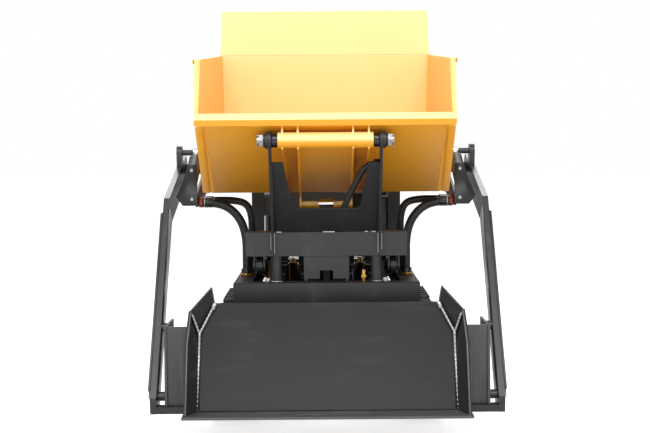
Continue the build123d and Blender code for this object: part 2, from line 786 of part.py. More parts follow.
# Skip
def make_skip_tub():
    lean = (skip_rim_half - skip_floor_half) / (skip_rear_rim[1] - skip_floor_z)
    rear_lean = (skip_rear_rim[0] - skip_floor_rear) / (skip_rear_rim[1] - skip_floor_z)
    roof = skip_rear_rim[1] + 120

    def end_view(inset, floor):
        """The skip's section across the machine, floor to well over the rim."""
        foot = skip_floor_half + lean * (floor - skip_floor_z) - inset
        top = skip_floor_half + lean * (roof - skip_floor_z) - inset
        return [(-foot, floor), (foot, floor), (top, roof), (-top, roof)]

    def across(points, y_from, y_to):
        with BuildSketch(Plane.XZ.offset(-y_to)) as section:
            with BuildLine():
                Polyline(*points, close=True)
            make_face()
        return section.sketch

    wide = skip_rim_half + 40
    wall_rise = skip_lip[1] - skip_floor_z
    wall_run = skip_lip[0] - skip_floor_front
    wall_length = hypot(wall_rise, wall_run)
    shift_y, shift_z = skip_wall * wall_rise / wall_length, -skip_wall * wall_run / wall_length
    with BuildPart() as hollow:
        lid = roof + 10
        inner_floor = skip_floor_z + skip_wall
        front_z = inner_floor
        front_y = skip_floor_front + shift_y + (front_z - skip_floor_z - shift_z) * wall_run / wall_rise
        far_y = front_y + wall_run * 1.6
        far_z = front_z + wall_rise * 1.6
        rear_foot = skip_floor_rear - skip_wall + rear_lean * skip_wall
        rear_top = rear_foot + rear_lean * (lid - inner_floor)
        plate([(front_y, front_z), (rear_foot, inner_floor), (rear_top, lid), (far_y, lid), (far_y, far_z)],
              -wide, wide)
        extrude(across(end_view(skip_wall, inner_floor - 20), far_y - 10, rear_top + 10),
                amount=rear_top - far_y + 20, mode=Mode.INTERSECT)
    with BuildPart() as tub:
        plate([(skip_floor_front, skip_floor_z), (skip_floor_rear, skip_floor_z), skip_rear_rim,
               skip_side_front, skip_lip], -wide, wide)
        extrude(across(end_view(0, skip_floor_z), skip_lip[0] - 10, skip_rear_rim[0] + 10),
                amount=skip_rear_rim[0] - skip_lip[0] + 20, mode=Mode.INTERSECT)
        add(hollow.part, mode=Mode.SUBTRACT)
        lip_edge = [(0, 20), (-6, -1), (2, -20), (26, -17), (10, 2)]
        plate([(skip_lip[0] + y, skip_lip[1] + z) for y, z in lip_edge], -lip_half, lip_half)
        rim_way = (0, skip_rear_rim[0] - skip_side_front[0], skip_rear_rim[1] - skip_side_front[1])
        rim_length = hypot(rim_way[1], rim_way[2])
        for side in (-1, 1):
            foot_x = skip_floor_half + lean * (skip_side_front[1] - skip_floor_z)
            start = (side * (foot_x - skip_wall / 2), *skip_side_front)
            with BuildSketch(Plane(origin=start, x_dir=(side, 0, 0), z_dir=rim_way)) as edge:
                with BuildLine():
                    down = side
                    outer, inner = rim_flange + 4, rim_flange + 1
                    Polyline((0, 0), (outer, 0), (outer, rim_drop * down), (inner, rim_drop * down),
                             (inner, rim_sheet * down), (0, rim_sheet * down), close=True)
                make_face()
            extrude(edge.sketch, amount=rim_length)
    write(tub, "skip_tub")


def make_headboard():
    foot_y, foot_z = skip_rear_rim[0], skip_rear_rim[1] + seat_gap
    lean = (headboard_top[0] - foot_y) / (headboard_top[1] - foot_z)
    with BuildPart() as board:
        with BuildSketch(Plane(origin=(0, foot_y, foot_z), x_dir=(1, 0, 0), z_dir=(0, -1, lean))) as face:
            height = hypot(headboard_top[0] - foot_y, headboard_top[1] - foot_z)
            with BuildLine():
                Polyline((-headboard_half_foot, 0), (headboard_half_foot, 0), (headboard_half_top, height),
                         (-headboard_half_top, height), close=True)
            make_face()
        extrude(face.sketch, amount=skip_wall)
    write(board, "skip_headboard")


def make_skip_hinge():
    under = seat_gap
    way = (skip_lip[0] - skip_floor_front, skip_lip[1] - skip_floor_z)
    length = hypot(*way)
    out = (-way[1] / length, way[0] / length)

    def wall_point(share):
        """A point just under the front wall, a share of the way from its foot to the lip."""
        return (skip_floor_front + share * way[0] + under * out[0],
                skip_floor_z + share * way[1] + under * out[1])

    with BuildPart() as hinge:
        rod_x(skip_pivot, hinge_tube_radius, -hinge_tube_half, hinge_tube_half)
        for side in (-1, 1):
            for gusset_x in gusset_xs:
                low, high = side_span(side, gusset_x - gusset_thickness / 2, gusset_x + gusset_thickness / 2)
                plate([wall_point(0), wall_point(0.93), (skip_pivot[0] - 20, skip_pivot[1] + 14),
                       (skip_pivot[0] - 12, skip_pivot[1] - 28), (skip_pivot[0] + 60, skip_pivot[1] - 56),
                       (skip_floor_front - 14, skip_floor_z - 20)], low, high)
            low, high = side_span(side, gusset_xs[0] - gusset_thickness / 2,
                                  gusset_xs[0] + gusset_thickness / 2)
            slot_plate(tip_eye, (tip_eye[0] + 16, skip_floor_z - 18), 34, low, high)
            stub_low, stub_high = side_span(side, 25 + face_gap, gusset_xs[0])
            rod_x(tip_eye, skip_pin_radius, stub_low, stub_high)
        rod_x(skip_pivot, skip_pin_radius + pin_gap, -hinge_tube_half, hinge_tube_half, mode=Mode.SUBTRACT)
    write(hinge, "skip_hinge")
    with BuildPart() as ribs:
        for side in (-1, 1):
            low, high = side_span(side, rib_near, rib_far)
            block(low, high, skip_floor_front + 20, skip_floor_rear - 10, skip_floor_z - rib_depth,
                  skip_floor_z - seat_gap)
    write(ribs, "skip_floor_ribs")


# Cylinders
def make_tip_cylinder():
    closed = distance(tip_base, tip_eye)
    barrel_end = tip_stage_length + 30
    stage_start, stage_end = 55, 55 + tip_stage_length
    with BuildPart() as barrel:
        rod_x(tip_base, 30, -25, 25)
        strut(tip_base, tip_eye, tip_barrel_radius, 0, 20, barrel_end)
        strut(tip_base, tip_eye, tip_stage_radius + pin_gap, 0, stage_start - 5, barrel_end,
              mode=Mode.SUBTRACT)
        rod_x(tip_base, skip_pin_radius + pin_gap, -40, 40, mode=Mode.SUBTRACT)
    write(barrel, "tip_barrel")
    with BuildPart() as stage:
        strut(tip_base, tip_eye, tip_stage_radius, 0, stage_start, stage_end)
        strut(tip_base, tip_eye, tip_rod_radius + pin_gap, 0, stage_start + 20, stage_end, mode=Mode.SUBTRACT)
    write(stage, "tip_stage")
    with BuildPart() as rod:
        strut(tip_base, tip_eye, tip_rod_radius, 0, stage_start + 25, closed - 16)
        rod_x(tip_eye, tip_eye_radius, -25, 25)
    write(rod, "tip_rod")


def make_lift_cylinders():
    closed = distance(lift_base, lift_eye)
    barrel_end = closed - 70
    with BuildPart() as barrels:
        for side in (-1, 1):
            x = side * lift_cylinder_x
            rod_x(lift_base, 27, x - lift_eye_half, x + lift_eye_half)
            strut(lift_base, lift_eye, 18, x, 10, 40)
            strut(lift_base, lift_eye, lift_barrel_radius, x, 34, barrel_end)
            strut(lift_base, lift_eye, lift_rod_radius + pin_gap, x, 60, barrel_end, mode=Mode.SUBTRACT)
            rod_x(lift_base, skip_pin_radius + pin_gap, x - 40, x + 40, mode=Mode.SUBTRACT)
    write(barrels, "lift_barrels")
    with BuildPart() as rods:
        for side in (-1, 1):
            x = side * lift_cylinder_x
            strut(lift_base, lift_eye, lift_rod_radius, x, 80, closed - 14)
            rod_x(lift_eye, 26, x - lift_eye_half, x + lift_eye_half)
    write(rods, "lift_rods")


def make_boom_cylinders():
    closed = distance(boom_base, boom_eye)
    barrel_end = closed - 62
    with BuildPart() as barrels:
        for side in (-1, 1):
            x = side * boom_cylinder_x
            rod_x(boom_base, 22, x - boom_eye_half, x + boom_eye_half)
            strut(boom_base, boom_eye, boom_eye_half, x, 10, 40)
            strut(boom_base, boom_eye, boom_barrel_radius, x, 27, barrel_end)
            strut(boom_base, boom_eye, boom_rod_radius + pin_gap, x, 50, barrel_end, mode=Mode.SUBTRACT)
            rod_x(boom_base, boom_pin_radius + pin_gap, x - 40, x + 40, mode=Mode.SUBTRACT)
    write(barrels, "boom_barrels")
    with BuildPart() as rods:
        for side in (-1, 1):
            x = side * boom_cylinder_x
            strut(boom_base, boom_eye, boom_rod_radius, x, 60, closed - 12)
            rod_x(boom_eye, 22, x - boom_eye_half, x + boom_eye_half)
            eye_near = boom_cylinder_x - boom_eye_half
            head_low, head_high = side_span(side, eye_near - 5, eye_near)
            rod_x(boom_eye, 15, head_low, head_high)
    write(rods, "boom_rods")


# Loader
def arm_outline():
    """The arm's outline in side view: outer edge from the pivot end to the foot, then back inside."""
    top_rear = (loader_pivot[0] - 18, loader_pivot[1] + 48)
    top_way = unit(top_rear, loader_bend)
    low_way = unit(loader_bend, loader_foot)
    top_in = (-top_way[1], top_way[0])
    low_in = (-low_way[1], low_way[0])
    reach = loader_arm_depth / (1 + top_in[0] * low_in[0] + top_in[1] * low_in[1])
    inner_bend = (loader_bend[0] + reach * (top_in[0] + low_in[0]),
                  loader_bend[1] + reach * (top_in[1] + low_in[1]))
    drop = (loader_heel_z - inner_bend[1]) / low_way[1]
    heel = (inner_bend[0] + drop * low_way[0], loader_heel_z)
    rear_in = (top_rear[0] + loader_arm_depth * top_in[0], top_rear[1] + loader_arm_depth * top_in[1])
    toe = (loader_foot[0] + 8, loader_heel_z)
    return [top_rear, loader_bend, loader_foot, toe, heel, inner_bend, rear_in]


def make_loader_arm(side, name):
    low, high = side_span(side, loader_arm_near, loader_arm_near + loader_arm_thickness)
    with BuildPart() as arm:
        plate(arm_outline(), low, high)
        rod_x(loader_pivot, loader_arm_depth / 2, low, high)
        slot_plate(boom_eye, (boom_eye[0] + 10, loader_pivot[1] + 10), 52, low, high)
        rod_x(loader_pivot, loader_pin_radius + pin_gap, low, high, mode=Mode.SUBTRACT)
        stub_low, stub_high = side_span(side, boom_cylinder_x + boom_eye_half + face_gap, loader_arm_near)
        rod_x(boom_eye, boom_pin_radius, stub_low, stub_high)
    write(arm, name)


def flat_sheet(corners, thickness):
    """A flat sheet on the plane of its first three corners, thickened against that plane's normal."""
    first, second, third = [Vector(*corner) for corner in corners[:3]]
    lie = Plane(origin=first, x_dir=second - first, z_dir=(second - first).cross(third - first))
    with BuildSketch(lie) as face:
        with BuildLine():
            flat = [lie.to_local_coords(Vector(*corner)) for corner in corners]
            Polyline(*[(p.X, p.Y) for p in flat], close=True)
        make_face()
    extrude(face.sketch, amount=-thickness)


def bead(start, end, radius):
    """A round weld bead between two points."""
    first, last = Vector(*start), Vector(*end)
    with BuildSketch(Plane(origin=first, z_dir=last - first)) as ring:
        Circle(radius)
    extrude(ring.sketch, amount=(last - first).length)


def draw_back(offset):
    """The shovel back's curve in side view, moved rearwards by an offset."""
    return ThreePointArc((shovel_back_top[0] + offset, shovel_back_top[1]),
                         (shovel_back_middle[0] + offset, shovel_back_middle[1]),
                         (shovel_back_foot[0] + offset, shovel_back_foot[1]))


def make_shovel():
    edge_top = shovel_back_foot[1]
    with BuildPart() as back:
        with BuildSketch(Plane.YZ.offset(-shovel_half_fork)) as section:
            with BuildLine():
                face = draw_back(0)
                rear = draw_back(shovel_sheet)
                Line(face @ 0, rear @ 0)
                Line(face @ 1, rear @ 1)
            make_face()
        extrude(section.sketch, amount=2 * shovel_half_fork)
        with BuildSketch(Plane.XZ) as front_view:
            with BuildLine():
                half_view = [(shovel_half_foot, edge_top), (shovel_half_fork, shovel_fork[1]),
                             (shovel_half_top, shovel_back_top[1])]
                Polyline(*half_view, *[(-x, z) for x, z in reversed(half_view)], close=True)
            make_face()
        extrude(front_view.sketch, amount=2000, both=True, mode=Mode.INTERSECT)
    write(back, "shovel_back")
    with BuildPart() as sides:
        seam = 0.6
        side_rise = seat_gap + 1.2
        foot = (shovel_half_foot + seam, shovel_back_foot[0], edge_top + side_rise)
        fork = (shovel_half_fork + seam, *shovel_fork)
        top = (shovel_half_top + seam, shovel_back_top[0], shovel_back_top[1] + seat_gap)
        side_foot = (*shovel_side_foot[:2], shovel_side_foot[2] + side_rise)
        flat_sheet([fork, foot, side_foot, shovel_side_corner, shovel_side_top], shovel_plate)
        flat_sheet([fork, shovel_side_top, shovel_ear, top], shovel_plate)
        bead_start = tuple(a + 0.08 * (b - a) for a, b in zip(fork, shovel_side_top))
        bead(bead_start, shovel_side_top, 4)
        mirror(about=Plane.YZ)
    write(sides, "shovel_sides")
    with BuildPart() as edge:
        block(-cutting_edge_half, cutting_edge_half, cutting_edge_front, shovel_back_foot[0] + shovel_sheet,
              edge_top - cutting_edge_thickness, edge_top)
    write(edge, "cutting_edge")
    with BuildPart() as carrier:
        block(-loader_arm_near + seat_gap, loader_arm_near - seat_gap, carrier_front, carrier_rear,
              carrier_bottom, carrier_top)
    write(carrier, "loader_cross_tube")
    with BuildPart() as ribs:
        for side in (-1, 1):
            for rib_x in rib_xs:
                with BuildSketch(Plane.YZ.offset(side * rib_x - shovel_sheet / 2)) as web:
                    with BuildLine():
                        front = draw_back(shovel_sheet + seat_gap)
                        Polyline(front @ 0, (carrier_rear + 30, shovel_back_top[1]), (carrier_rear + 30, 330),
                                 (carrier_rear, 200), (carrier_rear, carrier_top + seat_gap),
                                 front @ 1)
                    make_face()
                extrude(web.sketch, amount=shovel_sheet)
    write(ribs, "shovel_ribs")
    with BuildPart() as wings:
        for side in (-1, 1):
            with BuildSketch(Plane.XZ.offset(-wing_y)) as face:
                with BuildLine():
                    Polyline(*[(side * x, z) for x, z in (
                        (wing_step_near, wing_bottom), (wing_far, wing_bottom), (wing_far, wing_top),
                        (wing_near, wing_top), (wing_near, wing_step_top + 14),
                        (wing_step_near, wing_step_top))], close=True)
                make_face()
            extrude(face.sketch, amount=wing_thickness)
            low, high = side_span(side, wing_far - wing_thickness, wing_far)
            plate([(wing_y - wing_thickness - 14, wing_bottom), (wing_y - wing_thickness - 6, wing_top),
                   (wing_bolts[1][0] + 26, wing_top), (wing_bolts[1][0] + 20, wing_bolts[1][1] - 22),
                   (wing_bolts[0][0] + 30, wing_bottom)], low, high)
            for bolt in wing_bolts:
                boss_low, boss_high = side_span(side, wing_far, loader_arm_near - seat_gap)
                rod_x(bolt, 15, boss_low, boss_high)
    write(wings, "loader_wings")


# Hoses
def hose_route(side):
    """The points that one hose follows, from the cheek plate's port to the rail's top."""
    return [(side * x, y, z) for x, y, z in (
        (cheek_near - seat_gap, hose_y, hose_port_z), (385, hose_y, hose_port_z), (330, -305, 697),
        (294, -313, 650), (280, -319, 590), (280, -326, 528), (280, -326, chassis_top + seat_gap))]


def bend_radii(points):
    """The radius of the arc at each corner: as large as the two runs beside it allow."""
    radii = []
    for before, corner, after in zip(points, points[1:], points[2:]):
        run_in, run_out = Vector(*corner) - Vector(*before), Vector(*after) - Vector(*corner)
        turn = radians(run_in.get_angle(run_out))
        radii.append(0.45 * min(run_in.length, run_out.length) / tan(turn / 2))
    return radii


def make_hose(side, name):
    points = hose_route(side)
    radii = bend_radii(points)
    with BuildPart() as hose:
        with BuildLine() as path:
            FilletPolyline(*points, radius=radii)
        with BuildSketch(Plane(origin=path.line @ 0, z_dir=path.line % 0)):
            Circle(hose_radius)
        sweep()
    length = Wire(path.line.edges()).length
    share = hose.part.volume / (length * pi * hose_radius ** 2)
    print(name, "bend", round(min(radii)), "mm, length", round(length), "mm, volume share", round(share, 4))
    write(hose, name)


# Rear machinery
def make_engine():
    centre_x = (engine_left + engine_right) / 2
    mid_y = (engine_front + engine_rear) / 2
    with BuildPart() as engine:
        block(engine_left, engine_right, engine_front, engine_rear, deck_top + 12 + seat_gap, engine_top)
        edges_up = engine.edges().filter_by(Axis.Z)
        fillet(edges_up, 14)
        for y in (engine_front + 20, engine_rear - 40):
            block(engine_left - 10, engine_right + 10, y, y + 20, deck_top + seat_gap, deck_top + 24)
        for i in range(fin_count):
            fin_z = deck_top + 36 + i * fin_pitch
            block(engine_left - fin_depth, engine_left + 1, engine_front + 24, engine_rear - 24,
                  fin_z, fin_z + fin_thickness)
        with BuildSketch(Plane.XZ.offset(-engine_rear)) as fan:
            with Locations((centre_x, (deck_top + engine_top) / 2 + 8)):
                Circle(fan_radius)
        extrude(fan.sketch, amount=-fan_depth)
        with BuildSketch(Plane.XZ.offset(-engine_rear - fan_depth)) as starter:
            with Locations((centre_x, (deck_top + engine_top) / 2 + 8)):
                Circle(starter_radius)
        extrude(starter.sketch, amount=-starter_depth)
    write(engine, "engine_block")
    with BuildPart() as tank:
        with BuildSketch(Plane.XY.offset(engine_top + seat_gap)) as foot:
            with Locations((centre_x - 10, mid_y)):
                RectangleRounded(fuel_tank_width, fuel_tank_depth, 34)
        extrude(foot.sketch, amount=fuel_tank_height)
        fillet(tank.faces().sort_by(Axis.Z)[-1].edges(), 22)
        with BuildSketch(Plane.XY.offset(engine_top + fuel_tank_height)) as neck:
            with Locations((centre_x - 10, mid_y)):
                Circle(filler_radius)
        extrude(neck.sketch, amount=20)
    write(tank, "fuel_tank")
    with BuildPart() as muffler:
        with BuildSketch(Plane.YZ.offset(engine_left - muffler_width)) as can:
            with Locations((mid_y, engine_top - 50)):
                RectangleRounded(muffler_depth, muffler_height, 26)
        extrude(can.sketch, amount=muffler_width - seat_gap)
        with BuildSketch(Plane.YZ.offset(engine_left - muffler_width - 22)) as outlet:
            with Locations((mid_y + 40, engine_top - 40)):
                Circle(15)
        extrude(outlet.sketch, amount=30)
    write(muffler, "muffler")
    with BuildPart() as cleaner:
        with BuildSketch(Plane.YZ.offset(engine_right + seat_gap)) as shell:
            with Locations((mid_y, engine_top - 52)):
                RectangleRounded(cleaner_depth, cleaner_height, 24)
        extrude(shell.sketch, amount=cleaner_width)
        fillet(cleaner.faces().sort_by(Axis.X)[-1].edges(), 16)
    write(cleaner, "air_cleaner")


def make_hydraulics():
    with BuildPart() as tank:
        with BuildSketch(Plane.XY.offset(deck_top + seat_gap)) as foot:
            with Locations((tank_x, tank_y)):
                RectangleRounded(tank_width, tank_depth, 20)
        extrude(foot.sketch, amount=tank_height)
        fillet(tank.faces().sort_by(Axis.Z)[-1].edges(), 10)
        with BuildSketch(Plane.XY.offset(deck_top + tank_height)) as cap:
            with Locations((tank_x, tank_y)):
                Circle(24)
        extrude(cap.sketch, amount=22)
    write(tank, "hydraulic_tank")
    with BuildPart() as console:
        foot_z = deck_top + seat_gap
        for side in (-1, 1):
            low, high = side_span(side, console_half_width - console_leg_width, console_half_width)
            block(low, high, console_y - console_leg_depth / 2, console_y + console_leg_depth / 2, foot_z,
                  console_top - console_height + 1)
        plate([(console_y - console_front, console_top - console_height),
               (console_y + console_back, console_top - console_height),
               (console_y + console_back, console_top - console_slope),
               (console_y - console_front, console_top)], -console_half_width, console_half_width)
    write(console, "control_console")
    panel_front = (console_y - console_front, console_top)
    panel_rear = (console_y + console_back, console_top - console_slope)
    foot = along(panel_front, panel_rear, distance(panel_front, panel_rear) / 2)
    run = unit(panel_front, panel_rear)
    tip = (foot[0] - run[1], foot[1] + run[0])
    with BuildPart() as levers:
        for i in range(lever_count):
            x = (i - (lever_count - 1) / 2) * lever_pitch
            strut(foot, tip, lever_radius, x, seat_gap, lever_length)
            knob = along(foot, tip, lever_length + knob_radius / 2)
            with Locations((x, *knob)):
                Sphere(knob_radius)
    write(levers, "control_levers")


def make_handlebar():
    foot_z = deck_top + seat_gap
    with BuildPart() as bar:
        with BuildLine() as path:
            FilletPolyline((-handle_x, handle_foot_y, foot_z + 4),
                           (-handle_x, handle_foot_y + 12, handle_top - 100),
                           (-handle_x, handle_foot_y + 60, handle_top),
                           (-handle_x, grip_end - 6, handle_top), radius=40)
        with BuildSketch(Plane(origin=path.line @ 0, z_dir=path.line % 0)):
            Circle(handle_radius)
        sweep()
        block(-handle_x - 28, -handle_x + 28, handle_foot_y - 17, handle_foot_y + 17, foot_z, foot_z + 10)
        mirror(about=Plane.YZ)
        rod_x((handle_foot_y + 9, handle_top - 200), handle_radius, -handle_x, handle_x)
    write(bar, "handlebar")


def make_grips():
    with BuildPart() as grips:
        for side in (-1, 1):
            with BuildSketch(Plane.XZ.offset(-grip_end)) as sleeve:
                with Locations((side * handle_x, handle_top)):
                    Circle(handle_radius + 6)
            extrude(sleeve.sketch, amount=grip_length)
            with BuildSketch(Plane.XZ.offset(-grip_end + 6)) as bore:
                with Locations((side * handle_x, handle_top)):
                    Circle(handle_radius + pin_gap)
            extrude(bore.sketch, amount=grip_length, mode=Mode.SUBTRACT)
    write(grips, "handlebar_grips")


os.makedirs("parts", exist_ok=True)
for side, hand in ((-1, "right"), (1, "left")):
    make_track(side, f"track_{hand}")
    make_track_wheels(side, f"track_wheels_{hand}")
    make_track_frame(side, f"track_frame_{hand}")
    make_chassis_rail(side, f"chassis_rail_{hand}")
    make_loader_arm(side, f"loader_arm_{hand}")
    make_hose(side, f"hose_{hand}")
make_sprockets()
make_crossbars()
make_front_beam()
make_engine_deck()
make_tie_down_eyes()
make_gantry()
make_cheeks()
make_scissor_arms()
make_crossbeam()
make_lift_rails()
make_tip_cradle()
make_skip_posts()
make_skip_tub()
make_headboard()
make_skip_hinge()
make_tip_cylinder()
make_lift_cylinders()
make_boom_cylinders()
make_shovel()
make_engine()
make_hydraulics()
make_handlebar()
make_grips()
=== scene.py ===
# %% [markdown]
# A compact site dumper on rubber tracks, dressed for its portrait.
# The solid pieces arrive as a fixed frame that is never moved or reshaped. Everything below
# either gives one of them its finish or adds the small things that make it look real: weld
# beads, nuts, hoses, flanges and bolts. Such trim could be part of the solids too, but it
# would make them heavy and carries nothing, so it is added here.
# Lengths are metres, forward is -Y, +Z is up, and the machine's left is +X.

# %% Open the frame
from math import atan2, cos, degrees, pi, radians, sin

import bpy
from mathutils import Euler, Matrix, Vector


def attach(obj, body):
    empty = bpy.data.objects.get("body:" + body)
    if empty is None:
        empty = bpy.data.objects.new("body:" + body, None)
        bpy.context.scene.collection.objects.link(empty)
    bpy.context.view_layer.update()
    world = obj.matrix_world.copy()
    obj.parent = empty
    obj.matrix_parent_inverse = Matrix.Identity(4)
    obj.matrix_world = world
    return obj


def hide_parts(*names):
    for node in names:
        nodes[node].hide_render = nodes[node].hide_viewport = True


SIDES = (("right", -1), ("left", 1))
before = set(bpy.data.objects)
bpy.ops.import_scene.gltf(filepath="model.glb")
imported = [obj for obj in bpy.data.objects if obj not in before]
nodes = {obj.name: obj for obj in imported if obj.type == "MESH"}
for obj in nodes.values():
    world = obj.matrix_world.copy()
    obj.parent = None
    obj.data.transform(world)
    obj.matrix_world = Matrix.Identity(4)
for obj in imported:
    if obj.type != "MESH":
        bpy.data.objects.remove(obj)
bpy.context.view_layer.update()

# %% [markdown]
# The photograph was taken from in front, at about the height of the skip's hinge, with a
# moderate telephoto lens. One could shift the lens to keep the posts upright, but the camera
# was simply tilted down a little, so the same tilt is used here.

# %% Camera
PHOTO_WIDTH = 650
FOCAL_PIXELS = 1250
SENSOR_WIDTH = 36
camera_place = Vector((0.0, -4.70, 0.938))
camera_tilt = 3.5
camera_turn = 0.05
camera_roll = -0.45

camera_data = bpy.data.cameras.new("portrait_camera")
camera_data.sensor_width = SENSOR_WIDTH
camera_data.lens = FOCAL_PIXELS / PHOTO_WIDTH * SENSOR_WIDTH
camera = bpy.data.objects.new("portrait_camera", camera_data)
bpy.context.scene.collection.objects.link(camera)
aim = Euler((radians(90 - camera_tilt), 0, radians(camera_turn))).to_matrix()
rolled = aim @ Matrix.Rotation(radians(camera_roll), 3, "Z")
camera.matrix_world = Matrix.Translation(camera_place) @ rolled.to_4x4()
bpy.context.scene.camera = camera
print("camera lens", round(camera_data.lens, 1), "mm")

# %% [markdown]
# Materials are built from shader nodes. Writing each node and link by hand soon hides what
# the finish is, so one small class wraps a node's output: adding or multiplying two of them
# adds the Math node for it, and a finish can be written as a formula.

# %% Sockets in a formula
class Socket:
    """An output of a shader node that can be used in a formula."""

    def __init__(self, finish, output):
        self.finish = finish
        self.output = output

    def __add__(self, other):
        return self.finish.math("ADD", self, other)

    def __rsub__(self, other):
        return self.finish.math("SUBTRACT", other, self)

    def __mul__(self, other):
        return self.finish.math("MULTIPLY", self, other)

    __radd__ = __add__


print("sockets can be added, multiplied and taken from a number")

# %% [markdown]
# A real coat is a few patterns laid over each other: blobs of tone, fine grain, dust, rub
# marks. Each could be painted as a picture, but a pattern computed from the place on the
# piece has no seams and no pixels, so this class offers the few patterns that all finishes
# here share.

# %% A finish under construction
COLOUR_A, COLOUR_B, MIXED_COLOUR = 6, 7, 2  # where the Mix node keeps its colour sockets


class Finish:
    """A material under construction, with its Principled shader."""

    def __init__(self, name, **plain):
        self.material = bpy.data.materials.new(name)
        self.material.use_nodes = True
        self.tree = self.material.node_tree
        self.shader = self.tree.nodes["Principled BSDF"]
        for socket, value in plain.items():
            self.shader.inputs[socket.replace("_", " ")].default_value = value
        self.place = self.node("ShaderNodeTexCoord", out="Object")

    def node(self, kind, settings=None, inputs=None, out=0):
        """Adds a node: its settings first, then the values or links of its sockets."""
        made = self.tree.nodes.new(kind)
        for key, value in (settings or {}).items():
            setattr(made, key, value)
        for key, value in (inputs or {}).items():
            self.feed(made.inputs[key], value)
        return Socket(self, made.outputs[out])

    def feed(self, socket, value):
        if isinstance(value, Socket):
            self.tree.links.new(value.output, socket)
        else:
            socket.default_value = value

    def math(self, operation, a, b):
        return self.node("ShaderNodeMath", {"operation": operation}, {0: a, 1: b})

    def stretched(self, x, y, z):
        """The place on the piece, with each direction scaled, so that a pattern stretches."""
        return self.node("ShaderNodeMapping", inputs={"Vector": self.place, "Scale": (x, y, z)})

    def noise(self, scale, detail, roughness, place=None, offset=0.0):
        """Soft noise from 0 to 1, with blobs about 1 / scale metres across."""
        return self.node("ShaderNodeTexNoise", {"noise_dimensions": "4D"},
                         {"Vector": place or self.place, "W": offset, "Scale": scale, "Detail": detail,
                          "Roughness": roughness})

    def step(self, value, low, high):
        """0 below low, 1 above high and smooth between."""
        return self.node("ShaderNodeMapRange", {"interpolation_type": "SMOOTHSTEP"},
                         {"Value": value, "From Min": low, "From Max": high})

    def facing(self, axis):
        """How far the surface faces along an axis of the piece, from -1 to 1."""
        normal = self.node("ShaderNodeTexCoord", out="Normal")
        return self.node("ShaderNodeSeparateXYZ", inputs={"Vector": normal}, out=axis)

    def mix(self, factor, a, b):
        """A colour between a and b."""
        made = self.tree.nodes.new("ShaderNodeMix")
        made.data_type = "RGBA"
        self.feed(made.inputs["Factor"], factor)
        self.feed(made.inputs[COLOUR_A], a)
        self.feed(made.inputs[COLOUR_B], b)
        return Socket(self, made.outputs[MIXED_COLOUR])

    def bump(self, height, distance, strength):
        """Raises the surface by height times distance."""
        lifted = self.node("ShaderNodeBump",
                           inputs={"Height": height, "Distance": distance, "Strength": strength})
        self.feed(self.shader.inputs["Normal"], lifted)

    def out(self, **sockets):
        """Feeds the shader and gives back the finished material."""
        for socket, value in sockets.items():
            self.feed(self.shader.inputs[socket.replace("_", " ")], value)
        return self.material


print("patterns for a finish: noise, step, facing, mix and bump")

# %% [markdown]
# A paint chart gives a colour as three numbers from 0 to 255, spaced as the eye sees them.
# A shader counts light instead. One could work the values out beside each finish, but a
# finish is easier to read and to change when it keeps the numbers of the chart.

# %% Colours of the chart
def tone(red, green, blue):
    """A colour of the chart in the linear values that a shader needs."""
    linear = [((c / 255 + 0.055) / 1.055) ** 2.4 if c > 10 else c / 255 / 12.92
              for c in (red, green, blue)]
    return (*linear, 1.0)


print("middle grey of the chart is", round(tone(128, 128, 128)[0], 3), "in light")

# %% [markdown]
# The skip is sprayed steel: a warm golden yellow with a low sheen. Sprayed paint is never a
# mirror, it has a faint orange-peel ripple a few millimetres across. Light and shade are
# painted into its colour: what faces up gets a paler tone of painted light, what faces down
# or sideways a deeper tone of painted shade, and the surface's own direction picks between them.

# %% Yellow paint
def make_yellow_paint():
    paint = Finish("golden_yellow_paint", Specular_IOR_Level=0.5, Coat_Roughness=0.34, Coat_Weight=0.12)
    cloud = paint.noise(scale=2.6, detail=4.0, roughness=0.55)
    peel = paint.noise(scale=260.0, detail=2.0, roughness=0.4)
    dust = paint.step(paint.noise(scale=38.0, detail=6.0, roughness=0.7), 0.56, 0.8)
    # Painted light and shade: faces pointing up take the pale painted-light tone, faces pointing down or
    # sideways the deeper painted-shade tone.
    painted_light_mask = paint.step(paint.facing("Z"), -0.30, 0.16)
    painted_shade_tone = paint.mix(cloud, tone(238, 160, 24), tone(244, 168, 32))
    painted_light_tone = paint.mix(cloud, tone(250, 217, 134), tone(252, 222, 150))
    sideways_shade = paint.facing("X") * paint.facing("X")
    colour = paint.mix(painted_light_mask * (1 - sideways_shade * 0.6), painted_shade_tone, painted_light_tone)
    dusty = paint.mix(dust * 0.10, colour, tone(240, 220, 176))
    paint.bump(peel, distance=0.00025, strength=0.35)
    return paint.out(Base_Color=dusty, Roughness=0.38 + cloud * 0.08 + dust * 0.12)


yellow_paint = make_yellow_paint()
print("made", yellow_paint.name)

# %% [markdown]
# The frame, arms and shovel are powder coated in charcoal. Powder melts into a satin skin
# with a finer ripple than wet paint. Broad plates carry pale rub marks, and corners hold
# dust. A flat dark grey would look like plastic, so a stretched noise lightens it in long
# faint streaks, and stronger streaks along the plate give the brushed look of the wings.

